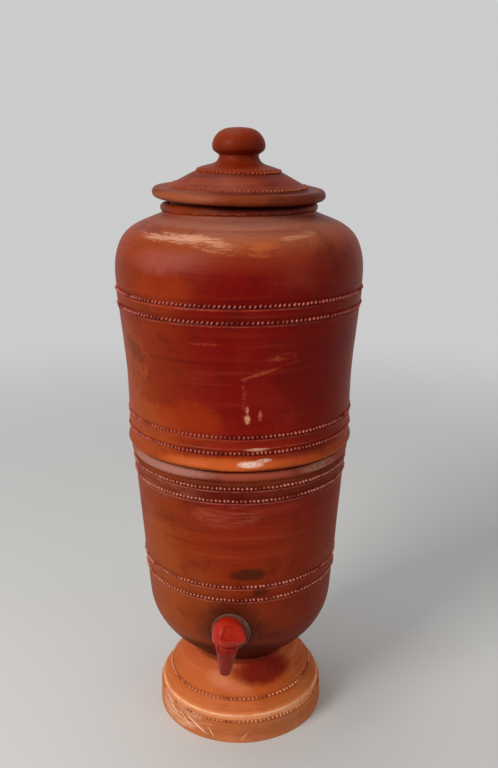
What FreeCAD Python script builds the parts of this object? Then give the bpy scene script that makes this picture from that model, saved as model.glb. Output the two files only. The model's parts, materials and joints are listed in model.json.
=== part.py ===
import FreeCAD, Part
import os

import Sketcher
from FreeCAD import Vector

# A clay water pot with a tap: a loose ring stand, a lower vessel that holds the clean water
# and carries the tap, an upper vessel with two filter candles, and a lid. +Z is up, the
# origin is the centre of the stand's foot, and the tap points along -Y.

# Driving dimensions in millimetres, and degrees for the names that end in angle. A rise is
# measured up and a drop down from the part the name starts with.
SIZES = {
    # ring stand
    "stand_foot_radius": 91.5,
    "stand_band_height": 20.0,
    "stand_edge_radius": 81.3,
    "stand_edge_height": 40.0,
    "stand_edge_bulge": 1.7,
    "stand_neck_radius": 58.0,
    "stand_height": 80.0,
    "stand_lip_height": 4.0,
    "stand_lip_edge": 2.0,
    "stand_seat_width": 8.0,
    "stand_wall": 10.5,
    "stand_bead_rise": 5.0,
    "seat_gap": 0.3,
    # lower vessel
    "lower_base_radius": 35.0,
    "lower_heel_radius": 58.0,
    "lower_heel_rise": 6.0,
    "lower_belly_radius": 98.8,
    "lower_belly_rise": 63.2,
    "lower_bowl_bulge": 8.2,
    "lower_top_radius": 111.6,
    "lower_height": 241.2,
    "lower_floor": 11.0,
    "lower_wall": 9.5,
    "lower_rim_height": 12.0,
    "lower_rim_overhang": 2.4,
    "lower_groove_depth": 2.4,
    "lower_mouth_radius": 100.0,
    "lower_low_bead_rise": 38.1,
    "lower_low_bead_step": 15.0,
    "lower_high_bead_drop": 4.9,
    "lower_high_bead_step": 13.2,
    # upper vessel
    "spigot_depth": 16.0,
    "spigot_clearance": 2.0,
    "upper_floor": 12.0,
    "upper_wall": 9.5,
    "collar_overhang": 3.0,
    "collar_height": 10.5,
    "upper_foot_radius": 114.2,
    "upper_middle_radius": 115.0,
    "upper_middle_rise": 72.0,
    "upper_belly_radius": 123.5,
    "upper_belly_drop": 56.5,
    "upper_belly_height": 20.0,
    "shoulder_radius": 104.0,
    "shoulder_drop": 21.0,
    "shoulder_bulge": 5.0,
    "shoulder_bulge_rise": 4.3,
    "neck_radius": 75.5,
    "neck_height": 9.5,
    "neck_wall": 5.3,
    "lip_overhang": 2.7,
    "upper_height": 240.5,
    "upper_low_bead_rise": 19.7,
    "upper_low_bead_step": 15.9,
    "upper_high_bead_drop": 4.9,
    "upper_high_bead_step": 14.9,
    # lid
    "lid_clearance": 2.0,
    "lid_ring_depth": 12.0,
    "lid_ring_wall": 8.0,
    "lid_overhang": 7.1,
    "lid_rim_height": 11.0,
    "lid_rim_inset": 3.0,
    "lid_flange_width": 16.3,
    "lid_step_rise": 3.5,
    "lid_cone_radius": 37.0,
    "lid_cone_rise": 18.7,
    "lid_shelf_width": 10.0,
    "lid_shelf_rise": 2.1,
    "lid_wall": 9.0,
    "knob_neck_radius": 19.0,
    "knob_neck_rise": 7.2,
    "knob_under_inset": 2.1,
    "knob_under_rise": 3.8,
    "knob_radius": 25.9,
    "knob_waist_rise": 8.5,
    "knob_turn_inset": 0.8,
    "knob_turn_rise": 13.2,
    "knob_height": 27.8,
    # clay beads, as rings half sunk in the wall
    "bead_radius": 2.1,
    "bead_relief": 1.7,
    # tap
    "tap_height": 140.0,
    "tap_reach": 139.0,
    "tap_lean_angle": 4.5,
    "tap_face_sink": 0.3,
    "tap_wall": 13.0,
    "tap_pad_radius": 22.0,
    "tap_hole_clearance": 0.6,
    "washer_thickness": 3.0,
    "outer_washer_radius": 20.0,
    "inner_washer_radius": 17.0,
    "washer_clearance": 0.2,
    "shank_radius": 10.4,
    "shank_tail": 5.0,
    "shank_bore_radius": 4.5,
    "flange_radius": 15.5,
    "flange_thickness": 4.0,
    "tap_neck_radius": 7.5,
    "nut_across_flats": 30.0,
    "nut_thickness": 7.0,
    "barrel_radius": 10.5,
    "barrel_top": 12.5,
    "bonnet_thread_radius": 10.0,
    "chamber_radius": 6.8,
    "seat_depth": 5.0,
    "spout_bore_radius": 3.9,
    "spout_radius": 5.3,
    "spout_depth": 21.0,
    "bonnet_radius": 13.0,
    "bonnet_skirt": 5.0,
    "bonnet_plate": 2.0,
    "bonnet_chamfer": 0.8,
    "bonnet_slots": 8,
    "bonnet_slot_width": 1.4,
    "bonnet_slot_depth": 1.0,
    "close_fit": 0.1,
    "running_fit": 0.05,
    "stem_radius": 2.7,
    "stem_neck_radius": 2.0,
    "stem_button_radius": 3.2,
    "stem_button_height": 1.8,
    "stem_flange_thickness": 1.4,
    "cup_height": 6.0,
    "cup_web": 2.0,
    "cup_clearance": 0.3,
    "cup_side_clearance": 1.2,
    "spring_wire": 0.9,
    "spring_turns": 5,
    "spring_clearance": 0.5,
    "pin_rise": 6.5,
    "pin_radius": 1.5,
    "pin_overhang": 0.3,
    "stem_head": 3.5,
    "lever_turn_angle": 18.0,
    "lever_slope_angle": 28.0,
    "lever_dome_radius": 15.0,
    "lever_dome_side": 12.5,
    "lever_dome_rise": 23.5,
    "lever_crown_wall": 4.0,
    "lever_wall": 2.0,
    "lever_skirt_front": 2.8,
    "lever_skirt_back": 0.9,
    "lever_play": 0.3,
    "cam_reach": 8.0,
    "cheek_gap": 0.5,
    "cheek_thickness": 3.0,
    "cheek_shoulder_rise": 5.0,
    "cheek_crown_drop": 3.0,
    "paddle_reach": 25.6,
    "paddle_start": 7.2,
    "paddle_front_width": 25.0,
    "paddle_back_width": 13.0,
    "paddle_corner": 4.0,
    "paddle_thickness": 4.0,
    "paddle_rise": 25.5,
    "paddle_rim": 1.7,
    "paddle_recess": 0.8,
    # filter candles
    "candle_spacing": 80.0,
    "candle_hole_clearance": 1.2,
    "candle_stem_radius": 4.8,
    "candle_stem_bore": 2.5,
    "candle_stem_tail": 4.0,
    "candle_radius": 28.0,
    "candle_wall": 8.0,
    "candle_side": 62.0,
    "cap_rim_wall": 1.9,
    "cap_plate": 5.0,
    "cap_rim_height": 9.0,
    "candle_washer_radius": 14.0,
    "wing_hub_radius": 9.0,
    "wing_hub_height": 8.0,
    "wing_reach": 17.0,
    "wing_rise": 11.0,
    "wing_thickness": 3.0,
}

ROOT_THREE = 3 ** 0.5
# how far a quarter circle stands out of the straight line across its corner, per radius
QUARTER_ROUND = 0.2
# how far a cut reaches past the solid it cuts
OVERCUT = 6.0
PARTS_FOLDER = "parts"


class Size:
    # a length together with the formula that works it out from the driving dimensions
    def __init__(self, value, formula):
        self.value = float(value)
        self.formula = formula

    def __add__(self, other):
        other = as_size(other)
        return Size(self.value + other.value, f"({self.formula} + {other.formula})")

    def __sub__(self, other):
        other = as_size(other)
        return Size(self.value - other.value, f"({self.formula} - {other.formula})")

    def __mul__(self, other):
        other = as_size(other)
        return Size(self.value * other.value, f"({self.formula} * {other.formula})")

    def __truediv__(self, other):
        other = as_size(other)
        return Size(self.value / other.value, f"({self.formula} / {other.formula})")

    def __radd__(self, other):
        return as_size(other) + self

    def __rsub__(self, other):
        return as_size(other) - self

    def __rmul__(self, other):
        return as_size(other) * self

    def __neg__(self):
        return as_size(0) - self

    def root(self):
        return Size(self.value ** 0.5, f"sqrt({self.formula})")


def as_size(number):
    return number if isinstance(number, Size) else Size(number, repr(float(number)))


class SizeSheet:
    # the driving dimensions, each in a named cell that the formulas use
    def __init__(self, document, sizes):
        self.sheet = document.addObject("Spreadsheet::Sheet", "Sizes")
        for row, (name, value) in enumerate(sizes.items(), start=1):
            self.sheet.set(f"A{row}", name)
            self.sheet.set(f"B{row}", str(value))
            self.sheet.setAlias(f"B{row}", name)
        document.recompute()

    def __getattr__(self, name):
        return Size(self.sheet.get(name), f"Sizes.{name}")


class Outline:
    # a closed outline of straight lines and arcs in a sketch, every corner held by a formula
    def __init__(self, across, up):
        self.corners = [(as_size(across), as_size(up))]
        self.middles = []

    def line(self, across, up):
        self.corners.append((as_size(across), as_size(up)))
        self.middles.append(None)
        return self

    def arc(self, middle_across, middle_up, across, up):
        self.corners.append((as_size(across), as_size(up)))
        self.middles.append((as_size(middle_across), as_size(middle_up)))
        return self

    def dome(self, across, up):
        # part of a ball whose centre is on the upright axis
        across, up = as_size(across), as_size(up)
        last_across, last_up = self.corners[-1]
        squares = last_across.value ** 2 - across.value ** 2 + last_up.value ** 2 - up.value ** 2
        centre_up = squares / (2 * (last_up.value - up.value))
        centre = Vector(0, centre_up, 0)
        from_centre = flat((last_across, last_up)) - centre
        to_end = flat((across, up)) - centre
        half_way = centre + (from_centre + to_end).normalize() * from_centre.Length
        self.corners.append((across, up))
        self.middles.append(half_way)
        return self

    def bulge(self, by_across, by_up, across, up):
        last_across, last_up = self.corners[-1]
        middle_across = (last_across + across) / 2 + by_across
        middle_up = (last_up + up) / 2 + by_up
        return self.arc(middle_across, middle_up, across, up)

    def close_with_bulge(self, by_across, by_up):
        # the last edge is an arc back to the first corner
        self.bulge(by_across, by_up, *self.corners[0])
        self.corners.pop()
        return self

    def draw(self, sketch):
        # where no arc closes the outline, one more line does
        count = len(self.corners)
        middles = (self.middles + [None])[:count]
        ends = []
        for index, middle in enumerate(middles):
            start = flat(self.corners[index])
            end = flat(self.corners[(index + 1) % count])
            if middle is None:
                edge = sketch.addGeometry(Part.LineSegment(start, end), False)
                ends.append((edge, 1, 2))
                continue
            through = middle if isinstance(middle, Vector) else flat(middle)
            edge = sketch.addGeometry(Part.Arc(start, through, end), False)
            forward = sketch.getPoint(edge, 1).isEqual(start, 1e-6)
            ends.append((edge, 1, 2) if forward else (edge, 2, 1))
        followers = ends[1:] + ends[:1]
        for (edge, start_point, end_point), after, corner, middle in zip(
            ends, followers, self.corners, middles
        ):
            sketch.addConstraint(
                Sketcher.Constraint("Coincident", edge, end_point, after[0], after[1])
            )
            pin_point(sketch, edge, start_point, corner)
            if isinstance(middle, Vector):
                sketch.addConstraint(Sketcher.Constraint("PointOnObject", edge, 3, -2))
            elif middle is not None:
                through = sketch.addGeometry(Part.Point(flat(middle)), True)
                pin_point(sketch, through, 1, middle)
                sketch.addConstraint(Sketcher.Constraint("PointOnObject", through, 1, edge))


def flat(point):
    return Vector(point[0].value, point[1].value, 0)


def pin_point(sketch, edge, point, place):
    # hold one point of the sketch by its two distances from the origin
    for kind, axis_line, distance in (("DistanceX", -2, place[0]), ("DistanceY", -1, place[1])):
        if distance.value == 0 and "Sizes" not in distance.formula:
            sketch.addConstraint(Sketcher.Constraint("PointOnObject", edge, point, axis_line))
            continue
        number = sketch.addConstraint(
            Sketcher.Constraint(kind, -1, 1, edge, point, distance.value)
        )
        sketch.setExpression(f"Constraints[{number}]", distance.formula)


def ring_outline(inner, outer, low, high):
    # the half section of a ring, or of a disc where the inner radius is 0
    return Outline(inner, low).line(outer, low).line(outer, high).line(inner, high)


def origin_feature(body, role):
    return next(item for item in body.Origin.OriginFeatures if item.Role == role)


def new_sketch(body, plane, offset=None):
    sketch = body.newObject("Sketcher::SketchObject", "Sketch")
    sketch.AttachmentSupport = [(origin_feature(body, plane), "")]
    sketch.MapMode = "FlatFace"
    if offset is not None:
        sketch.setExpression("AttachmentOffset.Base.z", offset.formula)
    return sketch


def turned(body, plane, outline, cut=False):
    # a solid of revolution about the sketch's upright axis, added to the body or cut from it
    sketch = new_sketch(body, plane)
    outline.draw(sketch)
    feature = body.newObject("PartDesign::Groove" if cut else "PartDesign::Revolution", "Turn")
    feature.Profile = sketch
    feature.ReferenceAxis = (sketch, ["V_Axis"])
    feature.Angle = 360
    return feature


def pushed(body, sketch, length, cut=False, reverse=False, both_ways=False):
    # a sketch pushed straight out as a pad, or in as a pocket
    feature = body.newObject("PartDesign::Pocket" if cut else "PartDesign::Pad", "Push")
    feature.Profile = sketch
    feature.setExpression("Length", as_size(length).formula)
    feature.Reversed = reverse
    if both_ways:
        feature.SideType = "Symmetric"
    return feature


def circle(sketch, radius, across=0.0, up=0.0):
    centre = (as_size(across), as_size(up))
    edge = sketch.addGeometry(Part.Circle(flat(centre), Vector(0, 0, 1), radius.value), False)
    pin_point(sketch, edge, 3, centre)
    number = sketch.addConstraint(Sketcher.Constraint("Radius", edge, radius.value))
    sketch.setExpression(f"Constraints[{number}]", radius.formula)


def new_body(document, name, across=0.0, up=0.0):
    # a sub-part, set down at its place in the pot
    body = document.addObject("PartDesign::Body", name)
    body.Label = name
    body.setExpression("Placement.Base.x", as_size(across).formula)
    body.setExpression("Placement.Base.z", as_size(up).formula)
    return body


class Fits:
    # the sizes and heights that neighbouring pieces share
    def __init__(self, s):
        self.seat_outer = s.stand_neck_radius - s.stand_lip_edge
        self.seat_slope = s.lower_heel_rise / (s.lower_heel_radius - s.lower_base_radius)
        seat_rise = self.seat_slope * (self.seat_outer - s.lower_base_radius)
        self.lower_base = s.stand_height + s.seat_gap - seat_rise
        self.rim_radius = s.lower_top_radius + s.lower_rim_overhang
        self.rim_top_radius = self.rim_radius - s.lower_groove_depth
        self.spigot_radius = s.lower_mouth_radius - s.spigot_clearance
        self.upper_seat = self.lower_base + s.lower_height
        self.candle_floor = self.upper_seat - s.spigot_depth + s.upper_floor
        self.lip_radius = s.neck_radius + s.lip_overhang
        self.mouth_radius = s.neck_radius - s.neck_wall
        self.lid_seat = self.upper_seat + s.upper_height
        # along the tap's shank, from the stem's axis into the pot
        self.pad_face = s.lower_belly_radius - s.tap_face_sink
        self.wall_outer = s.tap_reach - self.pad_face
        self.washer_outer = self.wall_outer - s.washer_thickness
        self.wall_inner = self.wall_outer + s.tap_wall
        self.nut_start = self.wall_inner + s.washer_thickness
        self.nut_end = self.nut_start + s.nut_thickness
        self.shank_end = self.nut_end + s.shank_tail
        # up the tap's stem, from the shank's axis
        self.barrel_shoulder = s.barrel_top - s.bonnet_skirt
        self.bonnet_top = s.barrel_top + s.bonnet_plate
        self.cup_radius = s.chamber_radius - s.cup_side_clearance
        self.cup_top = s.cup_height - s.seat_depth
        self.pin_height = self.bonnet_top + s.pin_rise
        self.cheek_inner = s.stem_radius + s.cheek_gap
        self.pin_length = (self.cheek_inner + s.cheek_thickness + s.pin_overhang) * 2
        self.dome_side = self.bonnet_top + s.lever_dome_side
        self.dome_top = self.bonnet_top + s.lever_dome_rise
        self.paddle_height = self.bonnet_top + s.paddle_rise


def on_line(start, end, height):
    # the radius at a height on the straight wall between two corners
    return start[0] + (end[0] - start[0]) * (height - start[1]) / (end[1] - start[1])


def add_bead_ring(outline, s, start, end, height):
    # a ring of beads stands out of the straight wall from start to end
    low = height - s.bead_radius
    high = height + s.bead_radius
    if start[1].value > end[1].value:
        low, high = high, low
    crest = on_line(start, end, height) + s.bead_relief
    outline.line(on_line(start, end, low), low)
    outline.arc(crest, height, on_line(start, end, high), high)


def inward(start, end, depth):
    # the steps across and up that move a slanting wall line in by a depth
    run = end[0] - start[0]
    rise = end[1] - start[1]
    length = (run * run + rise * rise).root()
    return depth * rise / length, depth * run / length


def make_stand(document, s, fits):
    body = new_body(document, "stand")
    edge = (s.stand_edge_radius, s.stand_edge_height)
    neck = (s.stand_neck_radius, s.stand_height - s.stand_lip_height)
    step_in, step_up = inward(edge, neck, s.stand_wall)
    foot_inner_radius = s.stand_foot_radius - s.stand_wall
    outline = Outline(foot_inner_radius, 0).line(s.stand_foot_radius, 0)
    outline.line(s.stand_foot_radius, s.stand_band_height)
    outline.bulge(s.stand_edge_bulge, s.stand_edge_bulge, *edge)
    add_bead_ring(outline, s, edge, neck, s.stand_edge_height + s.stand_bead_rise)
    outline.line(*neck)
    lip_bulge = s.stand_lip_edge * QUARTER_ROUND
    outline.bulge(lip_bulge, lip_bulge, fits.seat_outer, s.stand_height)
    seat_drop = fits.seat_slope * s.stand_seat_width
    outline.line(fits.seat_outer - s.stand_seat_width, s.stand_height - seat_drop)
    outline.line(neck[0] - step_in, neck[1] + step_up)
    outline.line(edge[0] - step_in, edge[1] + step_up)
    outline.line(foot_inner_radius, s.stand_band_height)
    turned(body, "XZ_Plane", outline)
    return body


def make_lower_vessel(document, s, fits):
    body = new_body(document, "lower_vessel", up=fits.lower_base)
    belly = (s.lower_belly_radius, s.lower_belly_rise)
    groove_height = s.lower_height - s.lower_rim_height
    wall_top = (s.lower_top_radius, groove_height)
    inner_belly = (s.lower_belly_radius - s.lower_wall, s.lower_belly_rise)
    inner_heel = s.lower_heel_radius - s.lower_wall
    outline = Outline(0, 0).line(s.lower_base_radius, 0)
    outline.line(s.lower_heel_radius, s.lower_heel_rise)
    outline.bulge(s.lower_bowl_bulge, -s.lower_bowl_bulge, *belly)
    low_bead = s.lower_belly_rise + s.lower_low_bead_rise
    high_bead = groove_height - s.lower_high_bead_drop
    for height in (low_bead, low_bead + s.lower_low_bead_step):
        add_bead_ring(outline, s, belly, wall_top, height)
    for height in (high_bead - s.lower_high_bead_step, high_bead):
        add_bead_ring(outline, s, belly, wall_top, height)
    outline.line(*wall_top)
    outline.line(s.lower_top_radius - s.lower_groove_depth, groove_height + s.bead_radius / 2)
    rim_middle = groove_height + s.lower_rim_height / 2
    outline.arc(fits.rim_radius, rim_middle, fits.rim_top_radius, s.lower_height)
    outline.line(s.lower_mouth_radius, s.lower_height)
    outline.line(s.lower_mouth_radius, s.lower_height - s.spigot_depth)
    outline.line(*inner_belly)
    outline.bulge(s.lower_bowl_bulge, -s.lower_bowl_bulge, inner_heel, s.lower_floor)
    outline.line(0, s.lower_floor)
    turned(body, "XZ_Plane", outline)

    # a flat clay pad outside and inside the wall, with the hole for the tap through it
    tap_rise = s.tap_height - fits.lower_base
    pad_sketch = new_sketch(body, "XZ_Plane", fits.pad_face - s.tap_wall)
    circle(pad_sketch, s.tap_pad_radius, 0, tap_rise)
    pushed(body, pad_sketch, s.tap_wall)
    face_sketch = new_sketch(body, "XZ_Plane", fits.pad_face)
    circle(face_sketch, s.tap_pad_radius, 0, tap_rise)
    pushed(body, face_sketch, s.tap_pad_radius, cut=True, reverse=True)
    inner_sketch = new_sketch(body, "XZ_Plane", fits.pad_face - s.tap_wall)
    circle(inner_sketch, s.tap_pad_radius, 0, tap_rise)
    pushed(body, inner_sketch, s.tap_pad_radius, cut=True)
    hole_sketch = new_sketch(body, "XZ_Plane", fits.pad_face)
    circle(hole_sketch, s.shank_radius + s.tap_hole_clearance, 0, tap_rise)
    pushed(body, hole_sketch, s.tap_wall + OVERCUT, cut=True)
    return body


def make_upper_vessel(document, s, fits):
    body = new_body(document, "upper_vessel", up=fits.upper_seat)
    foot = (s.upper_foot_radius, s.collar_height)
    middle = (s.upper_middle_radius, s.upper_middle_rise)
    belly_top = s.upper_height - s.upper_belly_drop
    belly = (s.upper_belly_radius, belly_top - s.upper_belly_height)
    shoulder = (s.shoulder_radius, s.upper_height - s.shoulder_drop)
    neck = (s.neck_radius, s.upper_height - s.neck_height)
    floor_top = s.upper_floor - s.spigot_depth
    floor_corner = fits.spigot_radius - s.upper_wall
    step_in, step_up = inward(shoulder, neck, s.upper_wall)

    outline = Outline(0, -s.spigot_depth).line(fits.spigot_radius, -s.spigot_depth)
    outline.line(fits.spigot_radius, 0).line(fits.rim_top_radius, 0)
    collar_radius = fits.rim_radius + s.collar_overhang
    outline.arc(collar_radius, s.collar_height / 2, *foot)
    low_bead = s.upper_low_bead_rise
    high_bead = belly[1] - s.upper_high_bead_drop
    for height in (low_bead, low_bead + s.upper_low_bead_step):
        add_bead_ring(outline, s, foot, middle, height)
    outline.line(*middle)
    for height in (high_bead - s.upper_high_bead_step, high_bead):
        add_bead_ring(outline, s, middle, belly, height)
    outline.line(*belly)
    outline.line(s.upper_belly_radius, belly_top)
    outline.bulge(s.shoulder_bulge, s.shoulder_bulge_rise, *shoulder)
    outline.line(*neck)
    outline.arc(fits.lip_radius, s.upper_height - s.neck_height / 2, s.neck_radius, s.upper_height)
    outline.line(fits.mouth_radius, s.upper_height)
    outline.line(fits.mouth_radius, neck[1] - s.upper_wall)
    outline.line(shoulder[0] - step_in, shoulder[1] + step_up)
    inner_belly_radius = s.upper_belly_radius - s.upper_wall
    outline.bulge(s.shoulder_bulge, s.shoulder_bulge_rise, inner_belly_radius, belly_top)
    outline.line(inner_belly_radius, belly[1])
    outline.line(middle[0] - s.upper_wall, middle[1])
    outline.line(s.upper_foot_radius - s.upper_wall, s.spigot_depth)
    corner = s.upper_wall / 2
    outline.line(floor_corner, floor_top + corner)
    round_out = corner * QUARTER_ROUND
    outline.bulge(round_out, -round_out, floor_corner - corner, floor_top)
    outline.line(0, floor_top)
    turned(body, "XZ_Plane", outline)

    # the holes in the floor for the candle stems
    holes = new_sketch(body, "XY_Plane")
    hole_radius = s.candle_stem_radius + s.candle_hole_clearance
    for side in (-1, 1):
        circle(holes, hole_radius, s.candle_spacing / 2 * side)
    pushed(body, holes, s.spigot_depth + OVERCUT, cut=True)
    return body


def make_lid(document, s, fits):
    body = new_body(document, "lid", up=fits.lid_seat)
    ring_radius = fits.mouth_radius - s.lid_clearance
    ring_inner = ring_radius - s.lid_ring_wall
    rim_radius = fits.lip_radius + s.lid_overhang
    rim_under = rim_radius - s.lid_rim_inset
    step = (rim_radius - s.lid_flange_width, s.lid_rim_height)
    cone_foot = (step[0] - s.bead_radius * 2, step[1] + s.lid_step_rise)
    cone_top = (s.lid_cone_radius, cone_foot[1] + s.lid_cone_rise)
    step_in, step_up = inward(cone_foot, cone_top, s.lid_wall)
    shelf = (s.lid_cone_radius - s.lid_shelf_width, cone_top[1] + s.lid_shelf_rise)
    neck = (s.knob_neck_radius, shelf[1] + s.knob_neck_rise)

    outline = Outline(ring_inner, -s.lid_ring_depth).line(ring_radius, -s.lid_ring_depth)
    outline.line(ring_radius, 0).line(rim_under, 0)
    outline.arc(rim_radius, s.lid_rim_height / 2, rim_under, s.lid_rim_height)
    outline.line(*step)
    outline.bulge(s.bead_relief / 2, s.bead_relief, *cone_foot)
    outline.line(*cone_top)
    cone_bead = s.lid_cone_radius - s.bead_radius * 2
    outline.bulge(s.bead_relief / 2, s.bead_relief, cone_bead, cone_top[1] + s.bead_radius / 2)
    outline.line(*shelf).line(*neck)
    knob_under = (s.knob_radius - s.knob_under_inset, neck[1] + s.knob_under_rise)
    outline.bulge(-s.knob_under_inset / 2, s.knob_under_inset / 2, *knob_under)
    knob_turn = (s.knob_radius - s.knob_turn_inset, neck[1] + s.knob_turn_rise)
    outline.arc(s.knob_radius, neck[1] + s.knob_waist_rise, *knob_turn)
    outline.dome(0, neck[1] + s.knob_height)
    outline.line(0, cone_top[1] + step_up)
    outline.line(cone_top[0] - step_in, cone_top[1] + step_up)
    outline.line(cone_foot[0] - step_in, cone_foot[1] + step_up)
    outline.line(ring_inner, s.lid_rim_height / 2)
    turned(body, "XZ_Plane", outline)
    return body


def tap_frame(document, s, name, turns=False):
    # a sub-part of the tap: its frame is where the shank's axis meets the stem's,
    # leaning about the shank, and turned about the stem where it goes round with the lever
    body = document.addObject("PartDesign::Body", name)
    body.Label = name
    place = f"vector(0; -{s.tap_reach.formula}; {s.tap_height.formula})"
    spin = f"rotation(vector(0; 1; 0); {s.tap_lean_angle.formula})"
    if turns:
        spin += f" * rotation(vector(0; 0; 1); {s.lever_turn_angle.formula})"
    body.setExpression("Placement", f"placement({place}; {spin})")
    return body


def make_tap_body(document, s, fits):
    body = tap_frame(document, s, "tap_body")
    spout = Outline(0, -s.spout_depth).line(s.spout_radius, -s.spout_depth)
    spout.line(s.barrel_radius, fits.barrel_shoulder)
    spout.line(s.bonnet_thread_radius, fits.barrel_shoulder)
    spout.line(s.bonnet_thread_radius, s.barrel_top).line(0, s.barrel_top)
    turned(body, "XZ_Plane", spout)
    flange_front = fits.washer_outer - s.flange_thickness
    shank = Outline(0, 0).line(s.tap_neck_radius, 0).line(s.tap_neck_radius, flange_front)
    shank.line(s.flange_radius, flange_front).line(s.flange_radius, fits.washer_outer)
    shank.line(s.shank_radius, fits.washer_outer).line(s.shank_radius, fits.shank_end)
    shank.line(0, fits.shank_end)
    turned(body, "XY_Plane", shank)
    chamber = Outline(0, s.barrel_top + OVERCUT).line(s.chamber_radius, s.barrel_top + OVERCUT)
    chamber.line(s.chamber_radius, -s.seat_depth).line(s.spout_bore_radius, -s.seat_depth)
    chamber.line(s.spout_bore_radius, -s.spout_depth - OVERCUT)
    chamber.line(0, -s.spout_depth - OVERCUT)
    turned(body, "XZ_Plane", chamber, cut=True)
    bore_end = fits.shank_end + OVERCUT
    turned(body, "XY_Plane", ring_outline(0, s.shank_bore_radius, 0, bore_end), cut=True)
    return body


def make_tap_bonnet(document, s, fits):
    body = tap_frame(document, s, "tap_bonnet")
    skirt_inner = s.bonnet_thread_radius + s.close_fit
    stem_hole = s.stem_radius + s.running_fit
    edge = s.bonnet_radius - s.bonnet_chamfer
    outline = Outline(skirt_inner, fits.barrel_shoulder).line(edge, fits.barrel_shoulder)
    outline.line(s.bonnet_radius, fits.barrel_shoulder + s.bonnet_chamfer)
    outline.line(s.bonnet_radius, fits.bonnet_top - s.bonnet_chamfer).line(edge, fits.bonnet_top)
    outline.line(stem_hole, fits.bonnet_top).line(stem_hole, s.barrel_top)
    outline.line(skirt_inner, s.barrel_top)
    turned(body, "XZ_Plane", outline)
    # the slots that leave the grip pads between them
    slot_floor = s.bonnet_radius - s.bonnet_slot_depth
    half_width = s.bonnet_slot_width / 2
    sketch = new_sketch(body, "XY_Plane", fits.bonnet_top)
    slot = Outline(slot_floor, -half_width).line(s.bonnet_radius + OVERCUT, -half_width)
    slot.line(s.bonnet_radius + OVERCUT, half_width).line(slot_floor, half_width)
    slot.draw(sketch)
    pocket = pushed(body, sketch, fits.bonnet_top - fits.barrel_shoulder + OVERCUT, cut=True)
    pattern = body.newObject("PartDesign::PolarPattern", "Slots")
    pattern.Originals = [pocket]
    pattern.Axis = (origin_feature(body, "Z_Axis"), [""])
    pattern.Angle = 360
    pattern.setExpression("Occurrences", s.bonnet_slots.formula)
    body.Tip = pattern
    return body


def make_tap_washer(document, s, name, radius, start):
    body = tap_frame(document, s, name)
    inner = s.shank_radius + s.washer_clearance
    turned(body, "XY_Plane", ring_outline(inner, radius, start, start + s.washer_thickness))
    return body


def make_tap_lock_nut(document, s, fits):
    body = tap_frame(document, s, "tap_lock_nut")
    half = s.nut_across_flats / 2
    corner = s.nut_across_flats / ROOT_THREE
    sketch = new_sketch(body, "XZ_Plane", -fits.nut_end)
    hexagon = Outline(half, -corner / 2).line(half, corner / 2).line(0, corner)
    hexagon.line(-half, corner / 2).line(-half, -corner / 2).line(0, -corner)
    hexagon.draw(sketch)
    pushed(body, sketch, s.nut_thickness)
    bore = ring_outline(0, s.shank_radius + s.close_fit, fits.nut_start - OVERCUT,
                        fits.nut_end + OVERCUT)
    turned(body, "XY_Plane", bore, cut=True)
    return body


def make_tap_seat_cup(document, s, fits):
    # a rubber cup that closes the seat, with a pocket for the stem's button
    body = tap_frame(document, s, "tap_seat_cup")
    low = -s.seat_depth
    pocket_radius = s.stem_button_radius + s.cup_clearance
    pocket_low = low + s.cup_web
    pocket_high = pocket_low + s.stem_button_height + s.cup_clearance * 2
    hole = s.stem_neck_radius + s.running_fit
    outline = Outline(0, low).line(fits.cup_radius, low).line(fits.cup_radius, fits.cup_top)
    outline.line(hole, fits.cup_top).line(hole, pocket_high).line(pocket_radius, pocket_high)
    outline.line(pocket_radius, pocket_low).line(0, pocket_low)
    turned(body, "XZ_Plane", outline)
    return body


def make_tap_stem(document, s, fits):
    body = tap_frame(document, s, "tap_stem", turns=True)
    button_low = s.cup_web + s.cup_clearance - s.seat_depth
    button_high = button_low + s.stem_button_height
    flange_top = fits.cup_top + s.stem_flange_thickness
    outline = Outline(0, button_low).line(s.stem_button_radius, button_low)
    outline.line(s.stem_button_radius, button_high).line(s.stem_neck_radius, button_high)
    outline.line(s.stem_neck_radius, fits.cup_top).line(fits.cup_radius, fits.cup_top)
    outline.line(fits.cup_radius, flange_top).line(s.stem_radius, flange_top)
    outline.line(s.stem_radius, fits.pin_height)
    outline.dome(0, fits.pin_height + s.stem_head)
    turned(body, "XZ_Plane", outline)
    sketch = new_sketch(body, "YZ_Plane")
    circle(sketch, s.pin_radius + s.running_fit / 2, 0, fits.pin_height)
    pushed(body, sketch, s.stem_radius * 2 + OVERCUT, cut=True, both_ways=True)
    return body


def make_tap_lever_pin(document, s, fits):
    body = tap_frame(document, s, "tap_lever_pin", turns=True)
    sketch = new_sketch(body, "YZ_Plane")
    circle(sketch, s.pin_radius, 0, fits.pin_height)
    pushed(body, sketch, fits.pin_length, both_ways=True)
    return body


def make_tap_spring(document, s, fits):
    body = tap_frame(document, s, "tap_spring")
    wire_radius = s.spring_wire / 2
    low = fits.cup_top + s.stem_flange_thickness + s.running_fit * 2 + wire_radius
    high = s.barrel_top - s.running_fit * 2 - wire_radius
    coil_radius = s.stem_radius + s.spring_clearance + wire_radius
    sketch = new_sketch(body, "XZ_Plane")
    circle(sketch, wire_radius, coil_radius, low)
    helix = body.newObject("PartDesign::AdditiveHelix", "Coil")
    helix.Profile = sketch
    helix.ReferenceAxis = (sketch, ["V_Axis"])
    helix.Mode = "height-turns-angle"
    helix.setExpression("Height", (high - low).formula)
    helix.setExpression("Turns", s.spring_turns.formula)
    return body


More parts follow.
